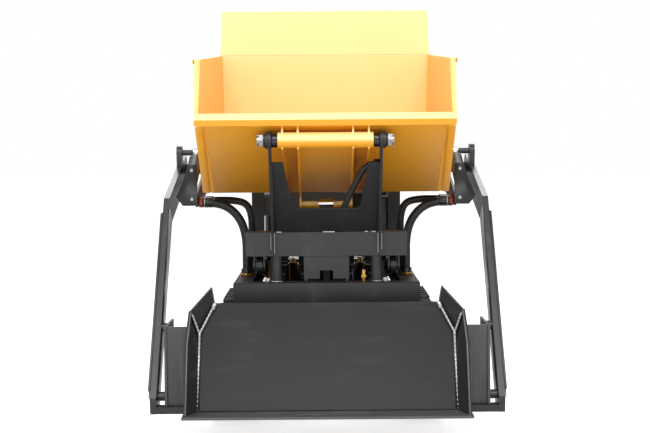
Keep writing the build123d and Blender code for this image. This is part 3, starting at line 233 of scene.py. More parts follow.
# %% Charcoal coat
def make_charcoal_coat(name, streak, rub, low, high, gloss, shine=0.5):
    """Powder coat: streak stretches the rub marks, low and high are its greys of the chart."""
    coat = Finish(name, Specular_IOR_Level=shine)
    cloud = coat.noise(scale=3.1, detail=5.0, roughness=0.6)
    peel = coat.noise(scale=420.0, detail=2.0, roughness=0.5)
    fleck = coat.step(coat.noise(scale=140.0, detail=3.0, roughness=0.6, offset=3.0), 0.64, 0.76)
    marks = coat.noise(scale=9.0, detail=7.0, roughness=0.65, place=coat.stretched(*streak), offset=7.0)
    rubbed = coat.step(marks, 0.50, 0.80)
    colour = coat.mix(cloud, tone(low, low + 1, low + 3), tone(high, high, high + 2))
    pale = coat.mix(rubbed * rub, colour, tone(150, 151, 152))
    dusty = coat.mix(fleck * 0.07, pale, tone(170, 170, 168))
    coat.bump(peel, distance=0.0002, strength=0.4)
    return coat.out(Base_Color=dusty, Roughness=gloss + cloud * 0.08 + rubbed * 0.12)


EVEN = (1.0, 1.0, 1.0)
charcoal_coat = make_charcoal_coat("charcoal_coat", EVEN, rub=0.10, low=17, high=27, gloss=0.42)
brushed_coat = make_charcoal_coat("brushed_charcoal", (9.0, 9.0, 0.35), rub=0.26, low=34, high=62, gloss=0.30)
# The shovel's rub marks are wear, but its greys are darker than the frame's same coat: that darkness is
# painted shade.
scuffed_and_shaded_coat = make_charcoal_coat("scuffed_and_shaded_charcoal", (0.6, 1.0, 2.4), rub=0.09, low=10, high=17, gloss=0.50,
                                  shine=0.36)
# Pale edge coat: real wear on the cutting edge, and a painted highlight on the rim rods of the shovel's sides.
worn_and_highlight_edge = make_charcoal_coat("worn_and_highlight_edge", (0.6, 3.0, 3.0), rub=0.5, low=52, high=92, gloss=0.26)
arm_coat = make_charcoal_coat("arm_charcoal", (2.0, 1.0, 1.0), rub=0.16, low=34, high=52, gloss=0.30)
gloss_black = make_charcoal_coat("gloss_black_paint", EVEN, rub=0.05, low=10, high=16, gloss=0.18)
print("made six coats of charcoal and black")

# %% [markdown]
# Track and hose rubber are black, but not as black as paint in shadow: dust lives in their
# grain. Grips and plastic lids are smoother. Each could have its own recipe, but they differ
# only in grain size, dust and gloss, so one recipe does for all.

# %% Rubber and plastic
def make_rubber(name, low, high, grain, dust_share, gloss):
    rubber = Finish(name, Specular_IOR_Level=0.4)
    fine = rubber.noise(scale=grain, detail=3.0, roughness=0.6)
    cloud = rubber.noise(scale=7.0, detail=5.0, roughness=0.6, offset=2.0)
    dust = rubber.step(rubber.noise(scale=24.0, detail=6.0, roughness=0.7, offset=5.0), 0.50, 0.78)
    colour = rubber.mix(cloud, tone(low, low, low + 1), tone(high, high, high))
    rubber.bump(fine, distance=0.0004, strength=0.5)
    return rubber.out(Base_Color=rubber.mix(dust * dust_share, colour, tone(140, 132, 120)),
                      Roughness=gloss + fine * 0.14)


track_rubber = make_rubber("track_rubber", 26, 38, grain=500.0, dust_share=0.34, gloss=0.62)
hose_rubber = make_rubber("hose_rubber", 15, 24, grain=900.0, dust_share=0.06, gloss=0.36)
grip_rubber = make_rubber("grip_rubber", 20, 30, grain=700.0, dust_share=0.10, gloss=0.55)
black_plastic = make_rubber("black_plastic", 18, 28, grain=600.0, dust_share=0.10, gloss=0.34)
print("made four rubbers and plastics")

# %% [markdown]
# Bare and plated steel: machined wheels are dull and scratched around, zinc is pale with a
# spangle, cylinder rods are hard chrome and mirror all but a faint haze. A weld is duller
# and spotted. A metal without any spots looks like a toy's, so each gets a fine noise in its
# colour and its gloss. Brass and copper are for the hose ends.

# %% Metals
def make_metal(name, dark, pale, spangle, gloss, metal=1.0, peel=0.0001):
    steel = Finish(name, Metallic=metal)
    spots = steel.noise(scale=spangle, detail=4.0, roughness=0.6, place=steel.stretched(*EVEN))
    smear = steel.noise(scale=14.0, detail=5.0, roughness=0.6, offset=4.0)
    steel.bump(spots, distance=peel, strength=0.5)
    return steel.out(Base_Color=steel.mix(spots, tone(*dark), tone(*pale)), Roughness=gloss + smear * 0.16)


wheel_steel = make_metal("wheel_steel", (70, 71, 73), (112, 112, 112), 90.0, 0.38, metal=0.7)
zinc_steel = make_metal("zinc_steel", (120, 121, 123), (186, 187, 187), 160.0, 0.24)
rod_chrome = make_metal("rod_chrome", (214, 215, 217), (228, 228, 228), 40.0, 0.05, peel=0.00002)
weld_steel = make_metal("weld_steel", (92, 92, 94), (190, 190, 188), 420.0, 0.26)
brass = make_metal("fitting_brass", (176, 132, 62), (204, 164, 92), 220.0, 0.24)
copper = make_metal("fitting_copper", (112, 46, 30), (150, 72, 48), 180.0, 0.30)
engine_grey = make_metal("engine_grey", (84, 86, 90), (108, 110, 112), 60.0, 0.42, metal=0.35, peel=0.0003)
print("made seven metals")

# %% [markdown]
# Each solid piece gets the finish of its own surface. The list could run piece by piece, but
# most of the machine is charcoal, so every piece starts with that coat and the list names
# only the others.

# %% Finishes of the solid pieces
finish_of = {
    yellow_paint: ["skip_tub", "skip_headboard", "skip_hinge", "skip_floor_ribs"],
    brushed_coat: ["loader_wings"],
    arm_coat: ["loader_arm_left", "loader_arm_right"],
    scuffed_and_shaded_coat: ["shovel_back", "shovel_sides"],
    worn_and_highlight_edge: ["cutting_edge"],
    track_rubber: ["track_left", "track_right"],
    wheel_steel: ["track_wheels_left", "track_wheels_right", "sprockets"],
    zinc_steel: ["skip_pivot_pin"],
    rod_chrome: ["tip_rod", "tip_stage", "lift_rods", "boom_rods"],
    engine_grey: ["engine_block", "muffler"],
    black_plastic: ["air_cleaner", "fuel_tank", "control_levers"],
    grip_rubber: ["handlebar_grips"],
    hose_rubber: ["hose_left", "hose_right"],
    gloss_black: ["boom_barrels", "lift_barrels", "tip_barrel", "hydraulic_tank"],
}
for node in nodes.values():
    node.data.materials.clear()
    node.data.materials.append(charcoal_coat)
for finish, names in finish_of.items():
    for name in names:
        nodes[name].data.materials[0] = finish
print("finishes given to", len(nodes), "solid pieces")

# %% [markdown]
# Folded and welded sheet has no knife-sharp edge, and a sharp edge catches no light. The
# bends could be cut into each mesh, but the solids have to stay as they are, so their loose
# triangles are merged and a small Bevel rounds the edges, both as modifiers. The last one
# keeps the broad faces flat to the eye.

# %% Rounded sheet edges
MERGE_DISTANCE = 0.00002
SHEET_EDGE = 0.0012
EDGE_ANGLE = 35


def round_edges(piece, name, width, angle):
    """A Bevel of two steps on all edges that bend by more than the angle, in degrees."""
    soft = piece.modifiers.new(name, "BEVEL")
    soft.width = width
    soft.segments = 2
    soft.limit_method = "ANGLE"
    soft.angle_limit = radians(angle)


edged = ["skip_tub", "skip_headboard", "loader_wings", "loader_arm_left", "loader_arm_right", "shovel_back",
         "shovel_sides", "skip_post_brace", "cutting_edge", "front_base_beam", "lift_crossbeam",
         "chassis_rail_left", "chassis_rail_right", "tip_cradle", "skip_posts", "lift_side_rails",
         "loader_cheeks", "gantry_uprights", "gantry_cross_tube", "control_console", "engine_deck"]
for name in edged:
    merged = nodes[name].modifiers.new("merged", "WELD")
    merged.merge_threshold = MERGE_DISTANCE
    round_edges(nodes[name], "rounded", SHEET_EDGE, EDGE_ANGLE)
    faced = nodes[name].modifiers.new("faced", "WEIGHTED_NORMAL")
    faced.weight = 100
print("rounded the edges of", len(edged), "pieces")

# %% [markdown]
# The small pieces are modelled as by hand: a primitive at its size and place, edit-mode
# tools to shape it, and a Bevel that is applied. The last steps are the same for each, so
# one helper holds them. `settle` bakes the place into the mesh, rounds the edges, gives the
# finish and lets the piece ride on the body that carries it.


def alone():
    """Back to object mode with nothing selected, so that an operator acts on the new piece only."""
    if bpy.context.object and bpy.context.object.mode != "OBJECT":
        bpy.ops.object.mode_set(mode="OBJECT")
    bpy.ops.object.select_all(action="DESELECT")


def settle(name, body, finish, rounding=0.0, smooth=35):
    piece = bpy.context.object
    piece.name = name
    piece.data.name = name
    bpy.ops.object.transform_apply(location=True, rotation=True, scale=True)
    if rounding:
        round_edges(piece, "rounding", rounding, 30)
        bpy.ops.object.modifier_apply(modifier="rounding")
    bpy.ops.object.shade_smooth_by_angle(angle=radians(smooth))
    piece.data.materials.append(finish)
    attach(piece, body)


# %% [markdown]
# Sheet parts are cut flat and are as thick all over as the sheet. A cube could be squeezed
# into shape, but any outline works when a filled circle has one point for each corner and
# its face is extruded by the thickness.

# %% Plates
def extrude_all(run):
    """Pulls the selected faces out along the run, in edit mode."""
    bpy.ops.mesh.extrude_region_move(TRANSFORM_OT_translate={"value": run})


def turn_faces_out():
    """Makes every face point outwards and goes back to object mode."""
    bpy.ops.mesh.select_all(action="SELECT")
    bpy.ops.mesh.normals_make_consistent(inside=False)
    bpy.ops.object.mode_set(mode="OBJECT")


def plate(name, corners, thickness, body, finish, rounding=0.0008):
    """A flat plate through the corners, thickened along a vector."""
    alone()
    bpy.ops.mesh.primitive_circle_add(vertices=len(corners), radius=1, fill_type="NGON")
    for point, corner in zip(bpy.context.object.data.vertices, corners):
        point.co = corner
    bpy.ops.object.mode_set(mode="EDIT")
    bpy.ops.mesh.select_all(action="SELECT")
    extrude_all(thickness)
    turn_faces_out()
    settle(name, body, finish, rounding)


print("plates are cut from a filled circle")

# %% [markdown]
# A weld is a row of small puddles, each frozen as the next one was laid on it. A straight
# tube looks like a cable glued on, and a bump alone has no edge. A curve whose bevel swells
# and shrinks every few millimetres gives the ripple for little work, and is then made a mesh.

# %% Weld beads
PUDDLE_STEP = 0.36  # of the bead's width


def draw_tube(name, kind, places, thickness, roundness):
    """A round curve through the places, linked to the scene."""
    line = bpy.data.curves.new(name, "CURVE")
    line.dimensions = "3D"
    line.bevel_depth = thickness / 2
    line.bevel_resolution = roundness
    line.use_fill_caps = True
    spline = line.splines.new(kind)
    spline.points.add(len(places) - 1)
    for point, place in zip(spline.points, places):
        point.co = (*place, 1)
    tube = bpy.data.objects.new(name, line)
    bpy.context.scene.collection.objects.link(tube)
    return tube


def weld(name, corners, width, body, finish=weld_steel):
    alone()
    puddles = []
    for a, b in zip(corners, corners[1:]):
        run = Vector(b) - Vector(a)
        steps = max(2, round(run.length / (width * PUDDLE_STEP)))
        puddles += [Vector(a) + run * i / steps for i in range(steps)]
    puddles.append(Vector(corners[-1]))
    bead = draw_tube(name, "POLY", puddles, width, roundness=1)
    for count, point in enumerate(bead.data.splines[0].points):
        point.radius = 0.88 + 0.12 * cos(count * 2.1)
    bead.select_set(True)
    bpy.context.view_layer.objects.active = bead
    bpy.ops.object.convert(target="MESH")
    settle(name, body, finish, smooth=60)


print("beads have a puddle every", PUDDLE_STEP, "of their width")

# %% [markdown]
# The skip's sides are folded outwards along the sloping nose, so each lower edge shows a
# narrow strip beside a dark seam, and the front edges of the sides have a lip that widens
# towards the top. Bending a copy of the side would do, but the folds are flat, so each is a
# plate laid on the slope's own plane.

# %% Skip flanges
FLOOR_BEND = Vector((0, -0.372, 0.758))
NOSE = Vector((0, -0.735, 1.004))
SIDE_TOP = Vector((0, -0.543, 1.207))
BACKING = ((0.385, 0.759), (0.421, 0.764), (0.4125, 0.992), (0.385, 0.992))
STRIP = ((0.4015, 0.760), (0.4255, 0.762), (0.4165, 0.984), (0.3925, 0.984))
LIP = ((0.409, NOSE), (0.417, NOSE), (0.4325, SIDE_TOP), (0.413, SIDE_TOP))
slope_run = NOSE - FLOOR_BEND
slope_out = Vector((0, -slope_run.z, slope_run.y)).normalized()


def on_slope(x, z, proud=0.0):
    """The spot on the sloping nose at x and z, standing proud of it."""
    share = (z - FLOOR_BEND.z) / slope_run.z
    spot = FLOOR_BEND + slope_run * share + slope_out * proud
    return (x, spot.y, spot.z)


for word, side in SIDES:
    plate(f"skip_flange_back_{word}", [on_slope(side * x, z) for x, z in BACKING], slope_out * 0.0008,
          "skip", yellow_paint, 0)
    plate(f"skip_flange_{word}", [on_slope(side * x, z, -0.001) for x, z in STRIP], slope_out * 0.0052,
          "skip", yellow_paint, 0.0012)
    plate(f"skip_side_lip_{word}", [(side * x, spot.y, spot.z) for x, spot in LIP], (0, 0.0028, -0.0028),
          "skip", yellow_paint)
    weld(f"skip_corner_weld_{word}",
         [on_slope(side * 0.398, 0.78, 0.002), on_slope(side * 0.391, 0.975, 0.002)], 0.0035, "skip",
         yellow_paint)
GUSSET_FACES = (-0.138, -0.088, 0.088, 0.138)
for number, x in enumerate(GUSSET_FACES):
    weld(f"hinge_gusset_weld_{number}", [on_slope(x + 0.004, 0.80, 0.001), on_slope(x + 0.004, 0.95, 0.001)],
         0.006, "skip", yellow_paint)
print("skip flanges on a slope of", round(degrees(atan2(slope_run.z, -slope_run.y)), 1), "degrees")

# %% [markdown]
# The pivot pin is held by castle nuts: a hexagon with a slotted crown, and a split pin
# through one slot. Cutting the slots with a Boolean leaves ragged faces, so the crown is a
# ring whose faces are extruded except at six gaps.

# %% Castle nuts
PIN_Y, PIN_Z = -0.705, 0.938
NUT_X = 0.2133
CROWN_RADIUS = 0.0158
CROWN_WALL = 0.0036
CROWN_RISE = 0.0045
CROWN_TURN, CROWN_GAP = 60, 15  # degrees from slot to slot, and the slot itself


def castle_nut(name, side):
    alone()
    bpy.ops.mesh.primitive_cylinder_add(vertices=24, radius=CROWN_RADIUS, depth=0.003,
                                        location=(side * NUT_X, PIN_Y, PIN_Z), rotation=(0, side * pi / 2, 0))
    nut = bpy.context.object
    bpy.ops.object.transform_apply(location=True, rotation=True, scale=True)
    bpy.ops.object.mode_set(mode="EDIT")
    bpy.ops.mesh.select_all(action="DESELECT")
    bpy.ops.object.mode_set(mode="OBJECT")
    outer = max(nut.data.polygons, key=lambda face: face.center.x * side)
    outer.select = True
    bpy.ops.object.mode_set(mode="EDIT")
    bpy.ops.mesh.select_mode(type="FACE")
    bpy.ops.mesh.inset(thickness=CROWN_WALL)
    bpy.ops.mesh.delete(type="ONLY_FACE")
    bpy.ops.mesh.select_all(action="DESELECT")
    bpy.ops.object.mode_set(mode="OBJECT")
    far = max(face.center.x * side for face in nut.data.polygons)
    for face in nut.data.polygons:
        turn = degrees(atan2(face.center.z - PIN_Z, face.center.y - PIN_Y)) % CROWN_TURN
        face.select = face.center.x * side > far - 0.0001 and turn > CROWN_GAP
    bpy.ops.object.mode_set(mode="EDIT")
    extrude_all((side * CROWN_RISE, 0, 0))
    turn_faces_out()
    settle(name, "lift_frame", zinc_steel, 0.0004)


print("castle nuts sit at x =", NUT_X, "on the pivot pin")

# %% [markdown]
# Bushes, washers, fittings and rivets are all turned on a lathe. Each could be spun from its
# profile, but most of them are one plain step, so a cylinder from a start to an end with its
# rims rounded is enough. With six sides it is a nut.

# %% Split pins, bushes and washers
def rod(name, start, end, radius, body, finish, rounding=0.001, sides=28):
    """A round bar from start to end."""
    alone()
    run = Vector(end) - Vector(start)
    bpy.ops.mesh.primitive_cylinder_add(vertices=sides, radius=radius, depth=run.length,
                                        location=(Vector(start) + Vector(end)) / 2,
                                        rotation=run.to_track_quat("Z", "Y").to_euler())
    settle(name, body, finish, rounding)


def split_pin(name, side):
    """The wire through the nut's slot, bent at its lower end, and the eye above."""
    x = side * 0.2162
    wire = [(x, PIN_Y, PIN_Z + 0.014), (x, PIN_Y, PIN_Z), (x, PIN_Y, PIN_Z - 0.015),
            (x + side * 0.002, PIN_Y - 0.003, PIN_Z - 0.021), (x + side * 0.001, PIN_Y - 0.006, PIN_Z - 0.026)]
    for number, (a, b) in enumerate(zip(wire, wire[1:])):
        rod(f"{name}_{number}", a, b, 0.0019, "lift_frame", zinc_steel, 0, 10)
    rod(f"{name}_eye", (x - 0.003, PIN_Y, PIN_Z + 0.015), (x + 0.003, PIN_Y, PIN_Z + 0.015), 0.0044,
        "lift_frame", zinc_steel, 0.0008, 16)


RINGS = (("bush", 0.1532, 0.1715), ("washer", 0.1925, 0.1990))
for word, side in SIDES:
    castle_nut(f"castle_nut_{word}", side)
    split_pin(f"split_pin_{word}", side)
    for ring, inner, outer in RINGS:
        rod(f"pivot_{ring}_{word}", (side * inner, PIN_Y, PIN_Z), (side * outer, PIN_Y, PIN_Z), 0.0225,
            "lift_frame", gloss_black, 0.002)
print("castle nuts, split pins and rings on both ends of the pivot pin")

# %% [markdown]
# The shovel is welded where its side plates meet the curved back: one bead climbs from the
# cutting edge and forks at the upper corner, one branch along each plate's edge. The beads
# were left bare and shine against the charcoal. A thin pale rod along the side's rim is a
# painted highlight on that edge; it could be a bevel of the side, but a piece of its own can have a pale
# finish.

# %% Shovel welds
FORK = (0.4035, -0.7795, 0.329)
SEAM = ((0.4075, -0.870, 0.104), (0.4065, -0.8430, 0.160), (0.4045, -0.7965, 0.262), FORK)
SEAM_TOP = (FORK, (0.357, -0.7510, 0.418))
SEAM_SIDE = (FORK, (0.4255, -0.7900, 0.396))
RIM = ((0.434, -0.935, 0.101), (0.435, -0.850, 0.307), (0.428, -0.785, 0.405), (0.365, -0.754, 0.474),
       (0.357, -0.747, 0.421))


def to_side(side, places):
    """The places as they are on the machine's left, or mirrored to its right."""
    return [(side * x, y, z) for x, y, z in places]


for word, side in SIDES:
    weld(f"shovel_seam_{word}", to_side(side, SEAM), 0.0130, "loader")
    weld(f"shovel_seam_top_{word}", to_side(side, SEAM_TOP), 0.0120, "loader")
    weld(f"shovel_seam_side_{word}", to_side(side, SEAM_SIDE), 0.0110, "loader")
    rod(f"shovel_weld_end_{word}", (side * 0.363, -0.7570, 0.402), (side * 0.356, -0.7500, 0.422), 0.0085,
        "loader", weld_steel, 0.002, 12)
    # The rim rods are a painted highlight along the edges of the side plates.
    rim = to_side(side, RIM)
    for number, (a, b) in enumerate(zip(rim, rim[1:])):
        rod(f"shovel_rim_{word}_{number}", a, b, 0.0026, "loader", worn_and_highlight_edge, 0.0006, 12)
weld("cutting_edge_seam", [(-0.398, -0.868, 0.103), (0.398, -0.868, 0.103)], 0.005, "loader", charcoal_coat)
print("shovel welds fork at a height of", FORK[2], "m")

# %% [markdown]
# The two stop posts end in a round cap, slightly domed. A squashed sphere wastes most of its
# faces, so the cap is a disc whose rim is drawn in, ring by ring, as it rises.

# %% Round caps
CAP_RINGS = 5


def dome(name, foot, radius, rise, body, finish):
    alone()
    bpy.ops.mesh.primitive_circle_add(vertices=28, radius=radius, fill_type="NGON", location=foot)
    bpy.ops.object.mode_set(mode="EDIT")
    bpy.ops.mesh.select_all(action="SELECT")
    for ring in range(1, CAP_RINGS + 1):
        before = radians(90 * (ring - 1) / (CAP_RINGS + 0.5))
        now = radians(90 * ring / (CAP_RINGS + 0.5))
        extrude_all((0, 0, rise * (sin(now) - sin(before))))
        share = cos(now) / cos(before)
        bpy.ops.transform.resize(value=(share, share, 1), center_override=foot)
    turn_faces_out()
    settle(name, body, finish, smooth=50)


print("caps rise in", CAP_RINGS, "rings")

# %% [markdown]
# The lifting crossbeam and the front beam are square tube. Their plates were tacked with
# short beads that stayed bright, at the corners and in the middle. One long bead would be
# easier to lay here too, but it would look like another machine's, so each tack is its own.

# %% Beam welds
CROSSBEAM_FRONT, CROSSBEAM_TOP = -0.533, 0.6315
TACKS = ((-0.166, -0.150), (-0.012, 0.028), (0.128, 0.140), (0.150, 0.166), (0.172, 0.186))
POST_FACE, POST_SIDE = 0.1735, 0.1845
BRACE = ((POST_FACE, -0.690, 0.860), (POST_FACE, -0.6350, 0.745), (POST_FACE, -0.560, 0.640))
STOP_X, STOP_Y, STOP_TOP = 0.166, -0.5215, 0.5490
BEAM_TOP = 0.4665
BEAM_BUSH_X = 0.196
for number, (start, end) in enumerate(TACKS):
    weld(f"crossbeam_tack_{number}", [(x, CROSSBEAM_FRONT, CROSSBEAM_TOP) for x in (start, end)], 0.006,
         "lift_frame")
for word, side in SIDES:
    weld(f"post_weld_{word}", [(side * POST_FACE, -0.534, z) for z in (0.628, 0.560)], 0.006, "lift_frame")
    weld(f"post_weld_outer_{word}", [(side * POST_SIDE, -0.534, z) for z in (0.628, 0.572)], 0.005,
         "lift_frame")
    weld(f"brace_weld_{word}", to_side(side, BRACE), 0.005, "lift_frame", charcoal_coat)
    dome(f"stop_cap_{word}", (side * STOP_X, STOP_Y, STOP_TOP), 0.0165, 0.0018, "chassis", weld_steel)
    foot_ring = [(side * STOP_X + 0.0185 * cos(radians(t)), STOP_Y + 0.0185 * sin(radians(t)), BEAM_TOP)
                 for t in range(180, 361, 20)]
    weld(f"stop_foot_weld_{word}", foot_ring, 0.006, "chassis")
    weld(f"beam_end_weld_{word}", [(side * x, -0.5805, BEAM_TOP) for x in (0.252, 0.306)], 0.005, "chassis",
         charcoal_coat)
    rod(f"beam_bush_{word}", (side * BEAM_BUSH_X, -0.566, 0.466), (side * BEAM_BUSH_X, -0.566, 0.482), 0.010,
        "chassis", zinc_steel, 0.002)
rod("cradle_fitting", (0.124, -0.549, 0.466), (0.124, -0.549, 0.506), 0.0062, "chassis", brass, 0.0012, 12)
rod("cradle_fitting_nut", (0.124, -0.549, 0.476), (0.124, -0.549, 0.488), 0.0092, "chassis", brass, 0.001, 6)
print("tacked the crossbeam in", len(TACKS), "places")

# %% [markdown]
# A hose is made as a plumber sees it: a fitting screwed into its port, a crimped sleeve,
# and a run that leaves straight and then bends under its own stiffness. It could be a mesh
# swept by hand, but a smooth curve through a few points bends evenly by itself. The two boom
# hoses follow the same route as their solids, and a thinner return hose lies behind each.

# %% Hoses
BOOM_ROUTE = ((0.4477, -0.300, 0.722), (0.385, -0.300, 0.722), (0.330, -0.305, 0.697), (0.294, -0.313, 0.650),
              (0.280, -0.319, 0.590), (0.280, -0.326, 0.528), (0.280, -0.326, 0.4653))
RETURN_ROUTE = ((0.4477, -0.256, 0.727), (0.390, -0.256, 0.727), (0.330, -0.256, 0.727),
                (0.281, -0.256, 0.716), (0.264, -0.256, 0.670), (0.264, -0.256, 0.600),
                (0.270, -0.256, 0.530), (0.272, -0.256, 0.4653))
TIP_ROUTE = ((0.1745, -0.648, 0.862), (0.142, -0.645, 0.860), (0.116, -0.632, 0.835), (0.094, -0.610, 0.790),
             (0.070, -0.585, 0.740), (0.052, -0.558, 0.695), (0.046, -0.520, 0.662), (0.046, -0.495, 0.6318))
SIDE_HOSES = (("boom", BOOM_ROUTE, 0.030, 0.365), ("return", RETURN_ROUTE, 0.026, 0.415))


def hose(name, route, thickness, body):
    piece = draw_tube(name, "NURBS", route, thickness, roundness=4)
    piece.data.resolution_u = 10
    piece.data.splines[0].order_u = 3
    piece.data.splines[0].use_endpoint_u = True
    piece.data.materials.append(hose_rubber)
    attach(piece, body)
    return piece


print("hoses of", [width for _, _, width, _ in SIDE_HOSES], "m over the sleeve")

# %% [markdown]
# Where a hose ends, a hexagon holds it to its port and a ribbed sleeve is pressed around it.
# One lathe profile could give all of it, but each ring has its own finish, so the ribs are
# separate rings on the sleeve.

# %% Hose ends
RAIL_TOP = 0.4655


def cheek_fitting(port, side, y, z, width):
    """A nut on the cheek, the crimped sleeve and four ribs around it."""
    rod(f"hose_nut_{port}", (side * 0.4475, y, z), (side * 0.434, y, z), width * 0.62, "chassis", copper,
        0.0015, 6)
    rod(f"hose_crimp_{port}", (side * 0.435, y, z), (side * 0.400, y, z), width * 0.60, "chassis",
        gloss_black, 0.002)
    for ring in range(4):
        x = side * (0.428 - ring * 0.008)
        rod(f"hose_crimp_ring_{port}_{ring}", (x, y, z), (x - side * 0.0035, y, z), width * 0.64, "chassis",
            zinc_steel if ring == 0 else gloss_black, 0.001)


def rail_fitting(port, x, y, width):
    """A sleeve and a nut that stand on the chassis rail."""
    rod(f"hose_foot_{port}", (x, y, RAIL_TOP), (x, y, 0.490), width * 0.66, "chassis", gloss_black, 0.002)
    rod(f"hose_foot_nut_{port}", (x, y, RAIL_TOP), (x, y, 0.474), width * 0.80, "chassis", brass, 0.001, 6)


for word, side in SIDES:
    for kind, route, width, length in SIDE_HOSES:
        run = hose(f"{kind}_hose_{word}", to_side(side, route), width, "chassis")
        if kind == "boom":
            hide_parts(f"hose_{word}")
    for kind, route, width, _ in SIDE_HOSES:
        cheek_fitting(f"{word}_{kind}", side, route[0][1], route[0][2], width)
    for kind, route, width, _ in SIDE_HOSES:
        rail_fitting(f"{word}_{kind}", side * route[-1][0], route[-1][1], width)
hose("tip_hose", TIP_ROUTE, 0.022, "lift_frame")
rod("tip_hose_foot", (0.046, -0.495, 0.6312), (0.046, -0.495, 0.645), 0.0145, "lift_frame", gloss_black, 0.002)
rod("tip_hose_head", (0.1748, -0.648, 0.862), (0.156, -0.648, 0.862), 0.0145, "lift_frame", gloss_black, 0.002)
print("five hoses with their fittings")

# %% [markdown]
# Beside each boom cylinder stands a small black guard plate, welded to the cheek in front
# of the cylinder's foot, with two bright rivets. It could be a box with its corner cut off,
# but as a plate its outline follows the dark shape in the photograph more closely.

# %% Cylinder guards
GUARD_BACK, GUARD_FRONT, RIVET_FRONT = -0.3295, -0.3395, -0.3425
GUARD = ((0.449, 0.712), (0.500, 0.712), (0.523, 0.742), (0.500, 0.800), (0.478, 0.858), (0.449, 0.858))
RIVET_X, RIVET_HEIGHTS = 0.468, (0.735, 0.836)
for word, side in SIDES:
    plate(f"cylinder_guard_{word}", [(side * x, GUARD_BACK, z) for x, z in GUARD], (0, -0.010, 0), "chassis",
          gloss_black, 0.0012)
    for number, z in enumerate(RIVET_HEIGHTS):
        rod(f"guard_rivet_{word}_{number}", (side * RIVET_X, GUARD_FRONT, z), (side * RIVET_X, RIVET_FRONT, z),
            0.006, "chassis", zinc_steel, 0.001, 16)
print("cylinder guards with", len(RIVET_HEIGHTS), "rivets each")

# %% [markdown]
# The loader arms are box section with a wear strip down the outer front edge. The front of
# each arm's shaded inner face is covered by a thin gloss-black sheet, which is painted shade.
# Paint alone could mark the strip, but a separate flat bar throws a thin line of shadow along the arm, like
# the one in the photograph.

# %% Arm strips
ARM_BEND = Vector((0, -0.356, 0.740))
ARM_FOOT = Vector((0, -0.783, 0.124))
ARM_OUTER, ARM_INNER = 0.5635, 0.5442
STRIP_WIDTH, STRIP_PROUD = 0.060, 0.0008
SHADE_SHEET_FRONT, SHADE_SHEET_BACK = 0.001, 0.096
leg = (ARM_FOOT - ARM_BEND).normalized()
leg_front = Vector((0, leg.z, -leg.y))
top = ARM_BEND + leg * 0.060 + leg_front * STRIP_PROUD
foot = ARM_FOOT - leg * 0.030 + leg_front * STRIP_PROUD
strip_outline = (top, foot, foot - leg_front * STRIP_WIDTH, top - leg_front * STRIP_WIDTH)
shade_sheet_top = ARM_BEND + leg * 0.03
shade_sheet_foot = ARM_FOOT - leg * 0.004
shade_sheet_outline = (shade_sheet_top - leg_front * SHADE_SHEET_FRONT, shade_sheet_foot - leg_front * SHADE_SHEET_FRONT,
                 shade_sheet_foot - leg_front * SHADE_SHEET_BACK, shade_sheet_top - leg_front * SHADE_SHEET_BACK)
strip_weld = [end + leg_front * 0.0005 for end in (top, foot)]
for word, side in SIDES:
    plate(f"arm_strip_{word}", [(side * ARM_OUTER, spot.y, spot.z) for spot in strip_outline],
          (side * 0.0080, 0, 0), "loader", arm_coat, 0.0012)
    # Painted shade: a gloss-black sheet on the front of the arm's shaded inner face.
    plate(f"arm_shade_sheet_{word}", [(side * ARM_INNER, spot.y, spot.z) for spot in shade_sheet_outline],
          (-side * 0.0014, 0, 0), "loader", gloss_black, 0.0004)
    weld(f"arm_strip_weld_{word}", [(side * (ARM_OUTER + 0.001), spot.y, spot.z) for spot in strip_weld],
         0.003, "loader", charcoal_coat)
print("arm strips", round((foot - top).length, 3), "m long")

# %% [markdown]
# Bolts repeat all over the machine. A row of them could be an Array, but they face every
# way, so one is modelled with its washer and a chamfered hexagon, and each place gets a copy
# with its own mesh, turned to the face it holds.

# %% Bolts
def model_bolt(across, finish):
    """A hexagon, across its flats, on a washer, with its foot at the origin."""
    alone()
    bpy.ops.mesh.primitive_cylinder_add(vertices=24, radius=across * 0.62, depth=across * 0.14,
                                        location=(0, 0, across * 0.07))
    washer = bpy.context.object
    alone()
    bpy.ops.mesh.primitive_cylinder_add(vertices=6, radius=across * 0.577, depth=across * 0.42,
                                        location=(0, 0, across * 0.35))
    head = bpy.context.object
    round_edges(head, "chamfer", across * 0.06, 30)
    bpy.ops.object.modifier_apply(modifier="chamfer")
    washer.select_set(True)
    bpy.ops.object.join()
    bpy.ops.object.transform_apply(location=True, rotation=True, scale=True)
    bpy.ops.object.shade_smooth_by_angle(angle=radians(30))
    head.data.materials.append(finish)
    return head


def fasten(model, name, place, direction, body):
    """A copy of the bolt at its place, its head pointing in the direction."""
    alone()
    bolt = model.copy()
    bolt.data = model.data.copy()
    bolt.name = name
    bpy.context.scene.collection.objects.link(bolt)
    turned = Vector(direction).to_track_quat("Z", "Y").to_matrix().to_4x4()
    bolt.matrix_world = Matrix.Translation(place) @ turned
    bolt.select_set(True)
    bpy.context.view_layer.objects.active = bolt
    bpy.ops.object.transform_apply(location=True, rotation=True, scale=True)
    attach(bolt, body)


print("a bolt has 24 sides of washer and six of head")

# %% [markdown]
# The rest is hardware: the bolts of the shovel's wings, the rails, the deck, the gantry and
# the console. The wing bolts are read from small bumps on the arms' outer edges. The others
# could be left out, but a plate that nothing holds looks wrong close up, so each has a few.

